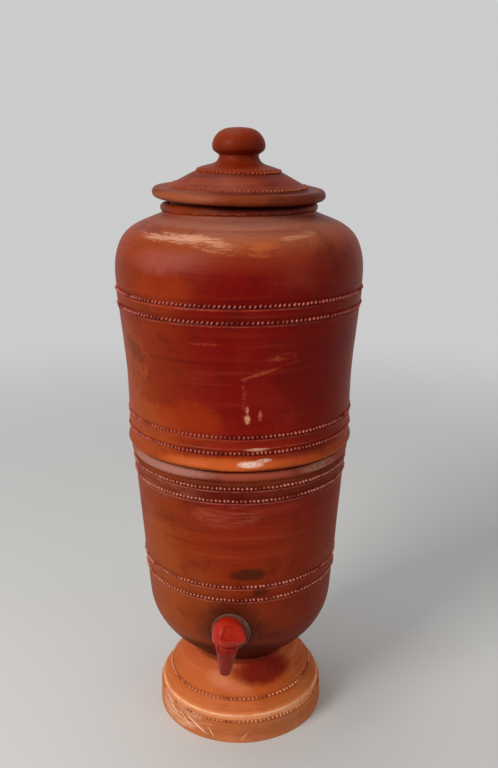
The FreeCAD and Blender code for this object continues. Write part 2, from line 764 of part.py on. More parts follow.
def paddle_plan(s, inset):
    # the paddle in its own plane: narrow where it leaves the dome, flared to two round corners
    front = inset - s.paddle_reach
    back = -s.paddle_start - inset
    wide = s.paddle_front_width / 2 - inset
    narrow = s.paddle_back_width / 2 - inset
    corner = s.paddle_corner - inset
    round_out = corner * QUARTER_ROUND
    plan = Outline(corner - wide, front).line(wide - corner, front)
    plan.bulge(round_out, -round_out, wide, front + corner)
    plan.line(narrow, back).line(-narrow, back).line(-wide, front + corner)
    return plan.close_with_bulge(-round_out, -round_out)


def sloping_sketch(body, height, slope):
    # a level sketch tipped about X, so that its front end is the lower one
    sketch = new_sketch(body, "XY_Plane")
    spin = f"rotation(vector(1; 0; 0); {slope.formula})"
    sketch.setExpression("AttachmentOffset", f"placement(vector(0; 0; {height.formula}); {spin})")
    return sketch


def make_tap_lever(document, s, fits):
    body = tap_frame(document, s, "tap_lever", turns=True)
    paddle = sloping_sketch(body, fits.paddle_height, s.lever_slope_angle)
    paddle_plan(s, as_size(0)).draw(paddle)
    pushed(body, paddle, s.paddle_thickness, reverse=True)

    # the dome over the stem's head, and the hollow under it
    skirt_back = fits.bonnet_top + s.lever_skirt_back
    skirt_front = fits.bonnet_top + s.lever_skirt_front
    cap = Outline(0, skirt_back).line(s.lever_dome_radius, skirt_back)
    cap.line(s.lever_dome_radius, fits.dome_side).dome(0, fits.dome_top)
    turned(body, "XZ_Plane", cap)
    inner_radius = s.lever_dome_radius - s.lever_wall
    hollow = Outline(0, skirt_back - OVERCUT).line(inner_radius, skirt_back - OVERCUT)
    hollow.line(inner_radius, fits.dome_side).dome(0, fits.dome_top - s.lever_crown_wall)
    turned(body, "XZ_Plane", hollow, cut=True)

    # the skirt's rim slopes up to the front, where it dips when the lever is pressed
    reach = s.paddle_reach + OVERCUT
    rim_slope = (skirt_front - skirt_back) / (s.lever_dome_radius * 2)
    rim_middle = (skirt_front + skirt_back) / 2
    skirt_cut = Outline(-reach, 0).line(reach, 0).line(reach, rim_middle - rim_slope * reach)
    skirt_cut.line(-reach, rim_middle + rim_slope * reach)
    skirt_sketch = new_sketch(body, "YZ_Plane")
    skirt_cut.draw(skirt_sketch)
    pushed(body, skirt_sketch, reach * 2, cut=True, both_ways=True)

    # two cheeks hold the pin, and their foot bears on the bonnet as a cam
    cam_low = fits.bonnet_top + s.lever_play
    cheek_shoulder = fits.dome_side + s.cheek_shoulder_rise
    cheek_crown = fits.dome_top - s.cheek_crown_drop
    for offset in (fits.cheek_inner, -fits.cheek_inner - s.cheek_thickness):
        cheek = Outline(-s.cam_reach, cam_low).line(s.cam_reach, cam_low)
        cheek.line(s.cam_reach, cheek_shoulder).line(s.cam_reach / 2, cheek_crown)
        cheek.line(-s.cam_reach / 2, cheek_crown).line(-s.cam_reach, cheek_shoulder)
        sketch = new_sketch(body, "YZ_Plane", offset)
        cheek.draw(sketch)
        pushed(body, sketch, s.cheek_thickness)
    holes = new_sketch(body, "YZ_Plane")
    circle(holes, s.pin_radius + s.running_fit, 0, fits.pin_height)
    pushed(body, holes, fits.pin_length + s.cheek_gap, cut=True, both_ways=True)

    # the dome is cut off level with the paddle, and the thumb rest is sunk inside its rim
    clearing = sloping_sketch(body, fits.paddle_height, s.lever_slope_angle)
    paddle_plan(s, as_size(0)).draw(clearing)
    pushed(body, clearing, OVERCUT, cut=True, reverse=True)
    recess = sloping_sketch(body, fits.paddle_height, s.lever_slope_angle)
    paddle_plan(s, s.paddle_rim).draw(recess)
    pushed(body, recess, s.paddle_recess, cut=True)
    return body


def candle_frame(document, s, fits, name, side):
    return new_body(document, name, s.candle_spacing / 2 * side, fits.candle_floor)


def make_candle(document, s, fits, number, side):
    # a filter candle from the top down, its frame on the upper side of the vessel's floor
    plate_low = s.washer_thickness
    shell_low = plate_low + s.cap_plate
    nut_top = -s.upper_floor - s.washer_thickness
    nut_low = nut_top - s.wing_hub_height
    stem_low = nut_low - s.candle_stem_tail
    washer_inner = s.candle_stem_radius + s.washer_clearance

    shell = candle_frame(document, s, fits, f"candle_{number}_shell", side)
    dome_low = shell_low + s.candle_side
    inner = s.candle_radius - s.candle_wall
    outline = Outline(inner, shell_low).line(s.candle_radius, shell_low)
    outline.line(s.candle_radius, dome_low)
    outline.dome(0, dome_low + s.candle_radius)
    outline.line(0, dome_low + inner)
    outline.dome(inner, dome_low)
    turned(shell, "XZ_Plane", outline)

    base = candle_frame(document, s, fits, f"candle_{number}_base", side)
    socket = s.candle_radius + s.close_fit
    rim_top = plate_low + s.cap_rim_height
    outline = Outline(s.candle_stem_bore, stem_low).line(s.candle_stem_radius, stem_low)
    cap_radius = socket + s.cap_rim_wall
    outline.line(s.candle_stem_radius, plate_low).line(cap_radius, plate_low)
    outline.line(cap_radius, rim_top).line(socket, rim_top)
    outline.line(socket, shell_low).line(s.candle_stem_bore, shell_low)
    turned(base, "XZ_Plane", outline)

    top_washer = candle_frame(document, s, fits, f"candle_{number}_top_washer", side)
    ring = ring_outline(washer_inner, s.candle_washer_radius, 0, plate_low)
    turned(top_washer, "XZ_Plane", ring)
    bottom_washer = candle_frame(document, s, fits, f"candle_{number}_bottom_washer", side)
    ring = ring_outline(washer_inner, s.candle_washer_radius, nut_top, -s.upper_floor)
    turned(bottom_washer, "XZ_Plane", ring)

    nut = candle_frame(document, s, fits, f"candle_{number}_wing_nut", side)
    turned(nut, "XZ_Plane", ring_outline(0, s.wing_hub_radius, nut_low, nut_top))
    for way in (-1, 1):
        wing = Outline(0, nut_low).line(s.wing_hub_radius * way, nut_low)
        wing.line(s.wing_reach * way, nut_top - s.wing_rise)
        wing.line(s.wing_reach * way, nut_top - s.wing_rise / 3).line(s.wing_hub_radius * way, nut_top)
        wing.line(0, nut_top)
        sketch = new_sketch(nut, "XZ_Plane")
        wing.draw(sketch)
        pushed(nut, sketch, s.wing_thickness, both_ways=True)
    bore = ring_outline(0, s.candle_stem_radius + s.close_fit, nut_low - OVERCUT, nut_top + OVERCUT)
    turned(nut, "XZ_Plane", bore, cut=True)
    return [shell, base, top_washer, bottom_washer, nut]


def make_pot(document):
    s = SizeSheet(document, SIZES)
    fits = Fits(s)
    makers = (
        make_stand,
        make_lower_vessel,
        make_upper_vessel,
        make_lid,
        make_tap_body,
        make_tap_bonnet,
        make_tap_lock_nut,
        make_tap_seat_cup,
        make_tap_stem,
        make_tap_lever_pin,
        make_tap_spring,
        make_tap_lever,
    )
    subparts = [make(document, s, fits) for make in makers]
    outer_radius = s.outer_washer_radius
    inner_radius = s.inner_washer_radius
    subparts.append(make_tap_washer(document, s, "tap_outer_washer", outer_radius, fits.washer_outer))
    subparts.append(make_tap_washer(document, s, "tap_inner_washer", inner_radius, fits.wall_inner))
    for number, side in ((1, -1), (2, 1)):
        subparts += make_candle(document, s, fits, number, side)
    document.recompute()
    return subparts


def check(document, subparts):
    for item in document.Objects:
        if "Invalid" in item.State or "Error" in item.State:
            raise RuntimeError(f"{item.Name} failed: {item.State}")
    for subpart in subparts:
        shape = subpart.Shape
        if shape.isNull() or not shape.isValid() or len(shape.Solids) != 1:
            raise RuntimeError(f"{subpart.Label} is not one valid solid")
        print(f"{subpart.Label}: {shape.Volume / 1000:.2f} ml")


def main():
    document = FreeCAD.newDocument("clay_water_pot")
    subparts = make_pot(document)
    check(document, subparts)
    os.makedirs(PARTS_FOLDER, exist_ok=True)
    for subpart in subparts:
        subpart.Shape.exportStep(os.path.join(PARTS_FOLDER, subpart.Label + ".step"))


main()
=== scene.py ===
import json
import math
import random

import bpy
from mathutils import Matrix, Vector

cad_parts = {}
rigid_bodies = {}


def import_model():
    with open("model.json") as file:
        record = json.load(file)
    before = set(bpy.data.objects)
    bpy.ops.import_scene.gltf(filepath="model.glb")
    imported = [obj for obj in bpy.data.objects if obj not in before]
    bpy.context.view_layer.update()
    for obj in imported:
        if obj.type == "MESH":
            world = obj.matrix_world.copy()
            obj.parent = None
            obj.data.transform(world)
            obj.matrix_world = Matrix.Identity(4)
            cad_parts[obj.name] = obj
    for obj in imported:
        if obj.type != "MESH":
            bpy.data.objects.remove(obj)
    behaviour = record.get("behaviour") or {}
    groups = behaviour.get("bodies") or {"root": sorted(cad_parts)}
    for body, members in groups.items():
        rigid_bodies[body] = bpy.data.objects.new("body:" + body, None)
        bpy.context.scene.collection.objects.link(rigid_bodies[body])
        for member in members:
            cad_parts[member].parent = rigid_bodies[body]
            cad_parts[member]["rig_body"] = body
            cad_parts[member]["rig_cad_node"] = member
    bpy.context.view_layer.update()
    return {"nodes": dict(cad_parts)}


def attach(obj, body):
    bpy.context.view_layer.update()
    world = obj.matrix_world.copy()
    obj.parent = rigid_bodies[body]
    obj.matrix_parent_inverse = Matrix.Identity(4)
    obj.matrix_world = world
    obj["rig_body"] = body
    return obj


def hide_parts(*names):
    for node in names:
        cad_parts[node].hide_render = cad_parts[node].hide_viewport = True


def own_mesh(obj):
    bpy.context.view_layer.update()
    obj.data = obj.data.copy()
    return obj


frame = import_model()
mm = 0.001
joinGap = 0.01 * mm
upright = Vector((0, 0, 1))
random.seed(7)


def colour(red, green, blue):
    # a screen colour, 0 to 255, as the linear colour that the shaders take
    parts = []
    for value in (red, green, blue):
        value = value / 255
        parts.append(value / 12.92 if value <= 0.04045 else ((value + 0.055) / 1.055) ** 2.4)
    return (*parts, 1.0)


# shader maths

class Wire:
    # a node's output that works with Python's operators
    def __init__(self, finish, socket):
        self.finish = finish
        self.socket = socket

    def math(self, operation, *others):
        values = dict(enumerate((self, *others)))
        return self.finish.node("ShaderNodeMath", {"operation": operation}, values)

    def __add__(self, other):
        return self.math("ADD", other)

    def __radd__(self, other):
        return self.math("ADD", other)

    def __sub__(self, other):
        return self.math("SUBTRACT", other)

    def __rsub__(self, other):
        return self.finish.node("ShaderNodeMath", {"operation": "SUBTRACT"}, {0: other, 1: self})

    def __mul__(self, other):
        return self.math("MULTIPLY", other)

    def __truediv__(self, other):
        return self.math("DIVIDE", other)

    def between(self, low, high):
        # 0 at low and 1 at high, with a smooth step between them
        values = {"Value": self, "From Min": low, "From Max": high}
        return self.finish.node("ShaderNodeMapRange", {"interpolation_type": "SMOOTHSTEP"}, values)


class Finish:
    # a material with its Principled shader, and the nodes that vary it
    def __init__(self, name, **constants):
        self.material = bpy.data.materials.new(name)
        self.material.use_nodes = True
        self.tree = self.material.node_tree
        self.shader = self.tree.nodes["Principled BSDF"]
        for socket, value in constants.items():
            self.shader.inputs[socket.replace("_", " ")].default_value = value
        self.place = self.node("ShaderNodeTexCoord", {}, {}, "Object")

    def node(self, kind, settings, values, output=0):
        made = self.tree.nodes.new(kind)
        for name, setting in settings.items():
            if name == "stops":
                self.setStops(made.color_ramp, setting)
            else:
                setattr(made, name, setting)
        for name, value in values.items():
            self.feed(made.inputs[name], value)
        return Wire(self, made.outputs[output])

    def feed(self, socket, value):
        if isinstance(value, Wire):
            self.tree.links.new(value.socket, socket)
        else:
            socket.default_value = value

    def setStops(self, ramp, stops):
        while len(ramp.elements) < len(stops):
            ramp.elements.new(0.5)
        for element, (position, shade) in zip(ramp.elements, stops):
            element.position = position
            element.color = shade

    def noise(self, scale, detail=3.0, roughness=0.55, distortion=0.0, drawn=None):
        # drawn stretches the pattern by factors across and up
        place = self.place
        if drawn:
            across, up = drawn
            stretch = {"Vector": self.place, "Scale": (across, across, up)}
            place = self.node("ShaderNodeMapping", {}, stretch)
        values = {"Vector": place, "Scale": scale, "Detail": detail}
        values.update({"Roughness": roughness, "Distortion": distortion})
        return self.node("ShaderNodeTexNoise", {}, values)

    def noises(self, patterns):
        return {name: self.noise(**pattern) for name, pattern in patterns.items()}

    def mix(self, mask, under, over):
        # input 0 is the factor, and 6 and 7 are the two colours
        return self.node("ShaderNodeMix", {"data_type": "RGBA"}, {0: mask, 6: under, 7: over}, 2)

    def bump(self, height, distance):
        values = {"Height": height, "Distance": distance}
        self.feed(self.shader.inputs["Normal"], self.node("ShaderNodeBump", {}, values))

    def wear(self, **sockets):
        for name, value in sockets.items():
            self.feed(self.shader.inputs[name.replace("_", " ")], value)
        return self.material


# modelling helpers

def startFresh():
    bpy.ops.object.select_all(action="DESELECT")


def activate(piece):
    startFresh()
    piece.select_set(True)
    bpy.context.view_layer.objects.active = piece


cornerRun = {"shares": (0.0, 0.25, 0.5, 0.75, 1.0), "most": 0.49}


def softRun(corners, longest):
    # corners are (across, up) or (across, up, rounding) in mm: round them, and divide long runs
    run = []
    most = cornerRun["most"]
    for index, corner in enumerate(corners):
        here = Vector(corner[:2])
        rounding = corner[2] if len(corner) > 2 else 0
        if not rounding:
            run.append(here)
            continue
        back = Vector(corners[index - 1][:2]) - here
        on = Vector(corners[(index + 1) % len(corners)][:2]) - here
        start = here + back.normalized() * min(rounding, back.length * most)
        end = here + on.normalized() * min(rounding, on.length * most)
        for share in cornerRun["shares"]:
            run.append(start.lerp(here, share).lerp(here.lerp(end, share), share))
    full = [run[0]]
    for point in run[1:]:
        pieces = max(1, math.ceil((point - full[-1]).length / longest))
        begin = full[-1]
        full += [begin.lerp(point, part / pieces) for part in range(1, pieces + 1)]
    return full


def spinPiece(name, shape):
    # draw the profile point by point, spin it about the upright axis, and close its seam and poles
    corners = shape["corners"]
    if shape.get("closed"):
        corners = corners + corners[:1]
    run = softRun(corners, shape["longest"])
    startFresh()
    bpy.ops.mesh.primitive_plane_add(size=mm)
    piece = bpy.context.active_object
    piece.name = piece.data.name = name
    bpy.ops.object.mode_set(mode="EDIT")
    bpy.ops.mesh.merge(type="CENTER")
    last = Vector((0, 0))
    for index, point in enumerate(run):
        step = (point - last) * mm
        move = {"value": (step.x, 0, step.y)}
        if index == 0:
            bpy.ops.transform.translate(**move)
        else:
            bpy.ops.mesh.extrude_region_move(TRANSFORM_OT_translate=move)
        last = point
    bpy.ops.mesh.select_all(action="SELECT")
    bpy.ops.mesh.spin(steps=shape["steps"], angle=math.tau, center=(0, 0, 0), axis=upright)
    bpy.ops.mesh.select_all(action="SELECT")
    bpy.ops.mesh.remove_doubles(threshold=joinGap)
    bpy.ops.mesh.normals_make_consistent(inside=False)
    bpy.ops.object.mode_set(mode="OBJECT")
    bpy.ops.object.shade_smooth()
    return piece


def applyModifiers(piece):
    activate(piece)
    for modifier in list(piece.modifiers):
        bpy.ops.object.modifier_apply(modifier=modifier.name)


def unevenClay(piece, waves):
    # the hand's unevenness: soft dents that only go into the clay, as (size, depth) in mm
    for number, (size, depth) in enumerate(waves):
        clouds = bpy.data.textures.new(f"{piece.name}Waves{number}", "CLOUDS")
        clouds.noise_scale = size * mm
        clouds.noise_depth = 1
        dents = piece.modifiers.new("dents", "DISPLACE")
        dents.texture = clouds
        dents.texture_coords = "LOCAL"
        dents.strength = depth * mm
        dents.mid_level = 1.0
    applyModifiers(piece)


def roundEdges(piece, width, segments, degrees):
    # bevel the edges that turn by more than this angle
    edges = piece.modifiers.new("edges", "BEVEL")
    edges.width = width * mm
    edges.segments = segments
    edges.limit_method = "ANGLE"
    edges.angle_limit = math.radians(degrees)
    applyModifiers(piece)


def smoothByAngle(piece, degrees):
    activate(piece)
    bpy.ops.object.shade_smooth_by_angle(angle=math.radians(degrees))


def joinPieces(pieces, name):
    startFresh()
    for piece in pieces:
        piece.select_set(True)
    bpy.context.view_layer.objects.active = pieces[0]
    bpy.ops.object.join()
    joined = bpy.context.active_object
    joined.name = joined.data.name = name
    bpy.ops.object.transform_apply(location=True, rotation=True, scale=True)
    return joined


def copyNode(nodeName, pieceName):
    # a free copy of one of the frame's solids, with its loose triangles joined
    piece = frame["nodes"][nodeName].copy()
    piece.data = piece.data.copy()
    piece.name = piece.data.name = pieceName
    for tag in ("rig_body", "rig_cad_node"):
        if tag in piece:
            del piece[tag]
    piece.parent = None
    bpy.context.scene.collection.objects.link(piece)
    activate(piece)
    bpy.ops.object.mode_set(mode="EDIT")
    bpy.ops.mesh.select_all(action="SELECT")
    bpy.ops.mesh.remove_doubles(threshold=joinGap)
    bpy.ops.object.mode_set(mode="OBJECT")
    return piece


def dress(piece, body, material, replaced=()):
    piece.data.materials.clear()
    piece.data.materials.append(material)
    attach(piece, body)
    if replaced:
        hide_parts(*replaced)
    print("made", piece.name)


# camera, lights, floor and backdrop

view = {
    "place": (0.08236, -0.84606, 0.617),
    "tilt": 73.79,
    "turn": 4.9,
    "focalLength": 39.844,
    "sensorWidth": 36.0,
}


def makeCamera():
    cameraData = bpy.data.cameras.new("potCamera")
    cameraData.lens = view["focalLength"]
    cameraData.sensor_width = view["sensorWidth"]
    cameraData.sensor_fit = "AUTO"
    camera = bpy.data.objects.new("potCamera", cameraData)
    camera.location = view["place"]
    camera.rotation_euler = (math.radians(view["tilt"]), 0, math.radians(view["turn"]))
    bpy.context.scene.collection.objects.link(camera)
    bpy.context.scene.camera = camera


lights = {
    "key": {"place": (-1.4, -1.6, 1.5), "size": 1.0, "watts": 43.0, "tint": (1.0, 0.97, 0.93)},
    "fill": {"place": (1.6, -1.3, 0.9), "size": 1.6, "watts": 7.0, "tint": (1.0, 0.91, 0.82)},
    "top": {"place": (-0.3, 0.3, 2.1), "size": 1.0, "watts": 8.0, "tint": (1.0, 1.0, 1.0)},
}
lightsAim = Vector((0, 0, 0.33))


def makeLights():
    for name, light in lights.items():
        lamp = bpy.data.lights.new(name + "Light", "AREA")
        lamp.size = light["size"]
        lamp.energy = light["watts"]
        lamp.color = light["tint"]
        holder = bpy.data.objects.new(name + "Light", lamp)
        holder.location = light["place"]
        aim = lightsAim - Vector(light["place"])
        holder.rotation_euler = aim.to_track_quat("-Z", "Y").to_euler()
        bpy.context.scene.collection.objects.link(holder)


studio = {
    "radius": 2.4,
    "sides": 96,
    "fadeFrom": 0.5,
    "fadeTo": 1.9,
    "paint": colour(214, 214, 213),
    "paintLighter": colour(224, 224, 223),
    "paintRoughness": 0.9,
    "mottle": {"scale": 3.0, "detail": 4.0},
    "mottleShare": 0.25,
    "seen": 0.60,
    "ambient": 0.30,
}


def makeStage():
    # a pale round floor that fades into the pale surroundings, with nothing behind the pot
    startFresh()
    bpy.ops.mesh.primitive_circle_add(vertices=studio["sides"], radius=studio["radius"],
                                      fill_type="NGON")
    floor = bpy.context.active_object
    floor.name = "studioFloor"
    bpy.ops.object.mode_set(mode="EDIT")
    bpy.ops.mesh.select_all(action="SELECT")
    bpy.ops.mesh.inset(thickness=studio["radius"] - studio["fadeTo"])
    bpy.ops.object.mode_set(mode="OBJECT")
    paint = Finish("studioPaint", Roughness=studio["paintRoughness"])
    mottle = paint.noise(**studio["mottle"]) * studio["mottleShare"]
    shade = paint.mix(mottle, studio["paint"], studio["paintLighter"])
    away = paint.node("ShaderNodeVectorMath", {"operation": "LENGTH"}, {0: paint.place}, "Value")
    fade = away.between(studio["fadeFrom"], studio["fadeTo"])
    clear = paint.node("ShaderNodeBsdfTransparent", {}, {})
    solid = Wire(paint, paint.shader.outputs[0])
    floorShader = paint.node("ShaderNodeMixShader", {}, {0: fade, 1: solid, 2: clear})
    paint.feed(paint.tree.nodes["Material Output"].inputs["Surface"], floorShader)
    floor.data.materials.append(paint.wear(Base_Color=shade))

    world = bpy.data.worlds.new("studioWorld")
    world.use_nodes = True
    bpy.context.scene.world = world
    tree = world.node_tree
    rays = tree.nodes.new("ShaderNodeLightPath")
    seen = rays.outputs["Is Camera Ray"]
    for ray in ("Is Glossy Ray", "Is Transmission Ray"):
        either = tree.nodes.new("ShaderNodeMath")
        either.operation = "MAXIMUM"
        tree.links.new(seen, either.inputs[0])
        tree.links.new(rays.outputs[ray], either.inputs[1])
        seen = either.outputs[0]
    brightness = tree.nodes.new("ShaderNodeMapRange")
    brightness.inputs["To Min"].default_value = studio["ambient"]
    brightness.inputs["To Max"].default_value = studio["seen"]
    tree.links.new(seen, brightness.inputs["Value"])
    background = tree.nodes["Background"]
    background.inputs["Color"].default_value = (1, 1, 1, 1)
    tree.links.new(brightness.outputs[0], background.inputs["Strength"])


bpy.context.scene.view_settings.view_transform = "Standard"
makeCamera()
makeLights()
makeStage()
print("camera, lights and stage are set")


# the clay's finish

clayPatterns = {
    "broad": {"scale": 11.0, "roughness": 0.5, "distortion": 0.4},
    "cloudy": {"scale": 34.0, "detail": 4.0, "roughness": 0.6, "distortion": 0.3},
    "wheel": {"scale": 26.0, "detail": 4.0, "roughness": 0.6, "drawn": (0.22, 5.0)},
    "drips": {"scale": 60.0, "detail": 4.0, "roughness": 0.7, "distortion": 0.4,
              "drawn": (1.0, 0.16)},
    "grain": {"scale": 520.0, "roughness": 0.65},
    "rough": {"scale": 75.0, "detail": 6.0, "roughness": 0.75},
    "flakes": {"scale": 210.0, "detail": 6.0, "roughness": 0.8, "distortion": 0.6},
    "streaks": {"scale": 70.0, "detail": 5.0, "roughness": 0.7, "distortion": 0.5,
                "drawn": (0.30, 3.4)},
    "specks": {"scale": 1150.0, "detail": 1.0, "roughness": 0.4},
    "pits": {"scale": 240.0},
}

# pattern, where it starts and is full, its strength (none: the clay's own mottle), and its colour
clayTints = (
    ("broad", (0.50, 0.80), None, "lighter"),
    ("cloudy", (0.50, 0.26), None, "darker"),
    ("wheel", (0.54, 0.76), 0.32, "lighter"),
    ("wheel", (0.46, 0.26), 0.36, "darker"),
    ("drips", (0.58, 0.76), 0.22, "lighter"),
    ("grain", (0.58, 0.80), 0.20, "lighter"),
    ("grain", (0.44, 0.22), 0.30, "darker"),
)

clayLook = {
    "refraction": 1.36,
    "specular": 0.10,
    "coatRoughness": 0.3,
    "middle": 0.5,
    "bandCore": 0.35,
    "rowDirtAndShade": (0.5, 0.6),
    "ridgeBreakupSpread": (0.30, 0.62),
    "fineUnder": 9,
    "flaky": (0.10, 0.46, 0.62),
    "streaky": (0.06, 0.44, 0.62),
    "specks": (0.71, 0.77),
    "speckStrength": 0.30,
    "roughVary": {"cloudy": 0.16, "grain": 0.14},
    "coat": (0.5, 0.1),
    "dustDull": 0.25,
    "relief": {"wheel": 0.5, "grain": 0.16, "rough": 0.22, "pits": 0.20},
}


def spot(place, half, strength, shade, *kinds, **edges):
    # place is (angle, height) in degrees and mm, with 0 at the tap and plus to the tap's right
    sizes = {"place": place, "half": half, "strength": strength}
    return {**sizes, "colour": shade, "kinds": kinds, **edges}


def patchMask(angle, height, edge, patch):
    # a spot with ragged edges
    placeAngle, placeHeight = patch["place"]
    halfAngle, halfHeight = patch["half"]
    across = (angle - math.radians(placeAngle)) / math.radians(halfAngle)
    up = (height - placeHeight * mm) / (halfHeight * mm) + across * patch.get("lean", 0.0)
    ragged = (edge - clayLook["middle"]) * patch.get("ragged", 1.0)
    distance = across * across + up * up + ragged
    return distance.between(1.0, patch.get("core", 0.2)) * patch["strength"]


def brokenMask(mask, pattern, look):
    # the pattern breaks the mask up, least where the mask is strong
    share, start, full = clayLook[look]
    return mask * (pattern + mask * share).between(start, full)


def bandMask(height, middle, half):
    # a soft band all round at a height
    away = (height - middle * mm).math("ABSOLUTE")
    return away.between(half * mm, half * clayLook["bandCore"] * mm)


def clayFinish(settings):
    finish = Finish(settings["name"], IOR=clayLook["refraction"],
                    Specular_IOR_Level=clayLook["specular"],
                    Coat_Roughness=clayLook["coatRoughness"])
    axes = finish.node("ShaderNodeSeparateXYZ", {}, {0: finish.place}).socket.node
    x, y, z = (Wire(finish, axes.outputs[name]) for name in ("X", "Y", "Z"))
    angle = x.math("ARCTAN2", 0 - y)
    low, high = settings["span"]
    share = (z - low * mm) / ((high - low) * mm)
    stops = [((h - low) / (high - low), colour(*shade)) for h, shade in settings["bands"]]
    shade = finish.node("ShaderNodeValToRGB", {"stops": stops}, {0: share})
    noises = finish.noises(clayPatterns)
    middle = clayLook["middle"]

    # away from the front the clay turns orange-brown: partly its own tone, partly painted light on the
    # lit left side and a painted reflection at the grazing right edge
    aside = (angle - math.radians(settings["redAngle"])).math("ABSOLUTE")
    aside = aside + (noises["broad"] - middle) * middle
    sides = aside.between(*settings["redSpread"]) * settings["sideToneAndLightStrength"]
    shade = finish.mix(sides, shade, colour(*settings["sideToneAndLightColour"]))
    for pattern, spread, strength, tint in clayTints:
        mask = noises[pattern].between(*spread) * (strength or settings["mottle"])
        shade = finish.mix(mask, shade, colour(*settings[tint]))
    # dark bands along the bead rows: dirt in the grooves together with painted shade under the beads
    least, more = clayLook["rowDirtAndShade"]
    for row in settings["rows"]:
        rowDarkening = bandMask(z, row, settings["rowHalf"]) * (noises["rough"] * more + least)
        shade = finish.mix(rowDarkening * settings["rowDirtAndShade"], shade, colour(*settings["darker"]))
    # pale lines along the ridges beside the bead rows: painted highlights on the ridge edges, and on
    # the stand's ledge its real wear
    ridgeBreakup = noises["rough"].between(*clayLook["ridgeBreakupSpread"])
    for ridge in settings["ridges"]:
        ridgeWornAndLit = bandMask(z, ridge, settings["ridgeHalf"]) * ridgeBreakup
        shade = finish.mix(ridgeWornAndLit * settings["ridgeWearAndHighlight"], shade, colour(*settings["ridgeWearAndHighlightColour"]))
    dust = None
    for patch in settings["patches"]:
        fine = patch["half"][1] < clayLook["fineUnder"]
        mask = patchMask(angle, z, noises["flakes"] if fine else noises["rough"], patch)
        for kind, pattern in (("flaky", "flakes"), ("streaky", "streaks")):
            if kind in patch["kinds"]:
                mask = brokenMask(mask, noises[pattern], kind)
        shade = finish.mix(mask, shade, colour(*patch["colour"]))
        if "dusty" in patch["kinds"]:
            dust = mask if dust is None else dust.math("MAXIMUM", mask)
    specks = noises["specks"].between(*clayLook["specks"]) * clayLook["speckStrength"]
    shade = finish.mix(specks, shade, colour(*settings["speckColour"]))

    gloss = settings["roughness"]
    for pattern, amount in clayLook["roughVary"].items():
        gloss = (noises[pattern] - middle) * amount + gloss
    share, least = clayLook["coat"]
    coat = (noises["broad"] * share + least) * settings["sheen"]
    if dust is not None:
        gloss = gloss + dust * clayLook["dustDull"]
        coat = coat * (1 - dust)
    relief = 0
    for pattern, amount in clayLook["relief"].items():
        relief = noises[pattern] * amount + relief
    finish.bump(relief, settings["relief"] * mm)
    return finish.wear(Base_Color=shade, Roughness=gloss, Coat_Weight=coat)


# ring stand

standShape = {
    "corners": [
        (82.0, 0.0, 1.0), (91.3, 0.0, 1.2), (91.4, 4.0), (90.7, 12.0, 6.0), (91.0, 19.5, 4.0),
        (88.9, 27.6, 1.0), (88.0, 28.5, 0.6), (88.3, 29.6, 0.6), (86.8, 32.4, 1.8),
        (83.4, 36.8, 2.0), (80.7, 40.6, 1.2), (79.0, 42.2, 1.0), (76.2, 46.4, 1.0),
        (76.0, 48.2, 0.8), (58.3, 75.7, 2.0), (57.6, 78.6, 1.2), (56.0, 79.8, 0.8),
        (48.0, 77.8, 1.0), (49.4, 70.0, 3.0), (72.4, 34.2, 3.0), (81.0, 20.0, 3.0),
    ],
    "closed": True,
    "steps": 176,
    "longest": 3.2,
    "waves": ((55.0, 0.6), (14.0, 0.30)),
    "footFlat": 0.8,
}

standClay = {
    "name": "standClay",
    "span": (0.0, 80.0),
    # the top bands darken towards the bowl: painted shade under the bowl
    "bands": [
        (0.0, (192, 118, 76)), (5.0, (186, 106, 62)), (14.0, (176, 94, 50)), (24.0, (184, 100, 52)),
        (28.0, (226, 144, 94)), (32.0, (222, 130, 76)), (34.5, (192, 96, 42)), (41.0, (190, 90, 34)),
        (60.0, (188, 80, 30)), (74.0, (164, 56, 20)), (80.0, (104, 28, 12)),
    ],
    "lighter": (224, 150, 104),
    "darker": (132, 50, 20),
    "mottle": 0.35,
    "redAngle": 28,
    "redSpread": (0.10, 0.75),
    "sideToneAndLightStrength": 0.30,
    "sideToneAndLightColour": (204, 116, 66),
    "rows": (44.0, 24.6),
    "rowHalf": 3.0,
    "rowDirtAndShade": 0.50,
    "ridges": (30.4,),
    "ridgeHalf": 1.6,
    "ridgeWearAndHighlight": 0.85,
    "ridgeWearAndHighlightColour": (248, 192, 150),
    "speckColour": (232, 180, 146),
    "patches": [
        # painted highlights: two soft pinkish spots on the stand's slope
        spot((-15, 60), (17, 10), 0.75, (228, 142, 104), ragged=1.2, core=-0.9),
        spot((1, 55), (17, 9), 0.70, (224, 132, 100), ragged=1.2, core=-0.9),
        # painted shadow of the bowl on the slope, right of the tap
        spot((30, 66), (38, 15), 0.95, (114, 18, 5), ragged=0.7),
        # painted shade under the bowl, round the top of the stand
        spot((0, 78), (60, 5), 0.7, (92, 20, 8), ragged=0.8),
        spot((-44, 16), (36, 16), 0.75, (226, 168, 130), "streaky", "dusty", ragged=1.6),
        spot((52, 28), (24, 5), 0.8, (224, 156, 114), "flaky", "dusty", ragged=1.6),
        spot((40, 11), (34, 13), 0.5, (196, 132, 94), "streaky", "dusty", ragged=1.6),
        spot((30, 14), (40, 16), 0.15, (130, 56, 24), ragged=1.2),
        spot((-50, 19), (9, 1.5), 0.9, (244, 200, 168), "dusty", lean=6.0, ragged=1.0),
        spot((-36, 14), (7, 1.3), 0.8, (240, 194, 160), "dusty", lean=6.0, ragged=1.2),
        spot((-26, 13), (10, 1.6), 0.9, (244, 200, 168), "dusty", lean=5.5, ragged=1.0),
        spot((-15, 10), (3, 1.4), 0.8, (240, 190, 156), "dusty", lean=5.0, ragged=1.2),
        spot((8, 8), (3.5, 1.4), 0.6, (226, 164, 126), "dusty", lean=-4.0, ragged=1.2),
        spot((150, 14), (60, 14), 0.6, (214, 154, 116), "streaky", "dusty", ragged=1.6),
    ],
    "roughness": 0.58,
    "sheen": 0.04,
    "relief": 1.3,
}

# lower vessel

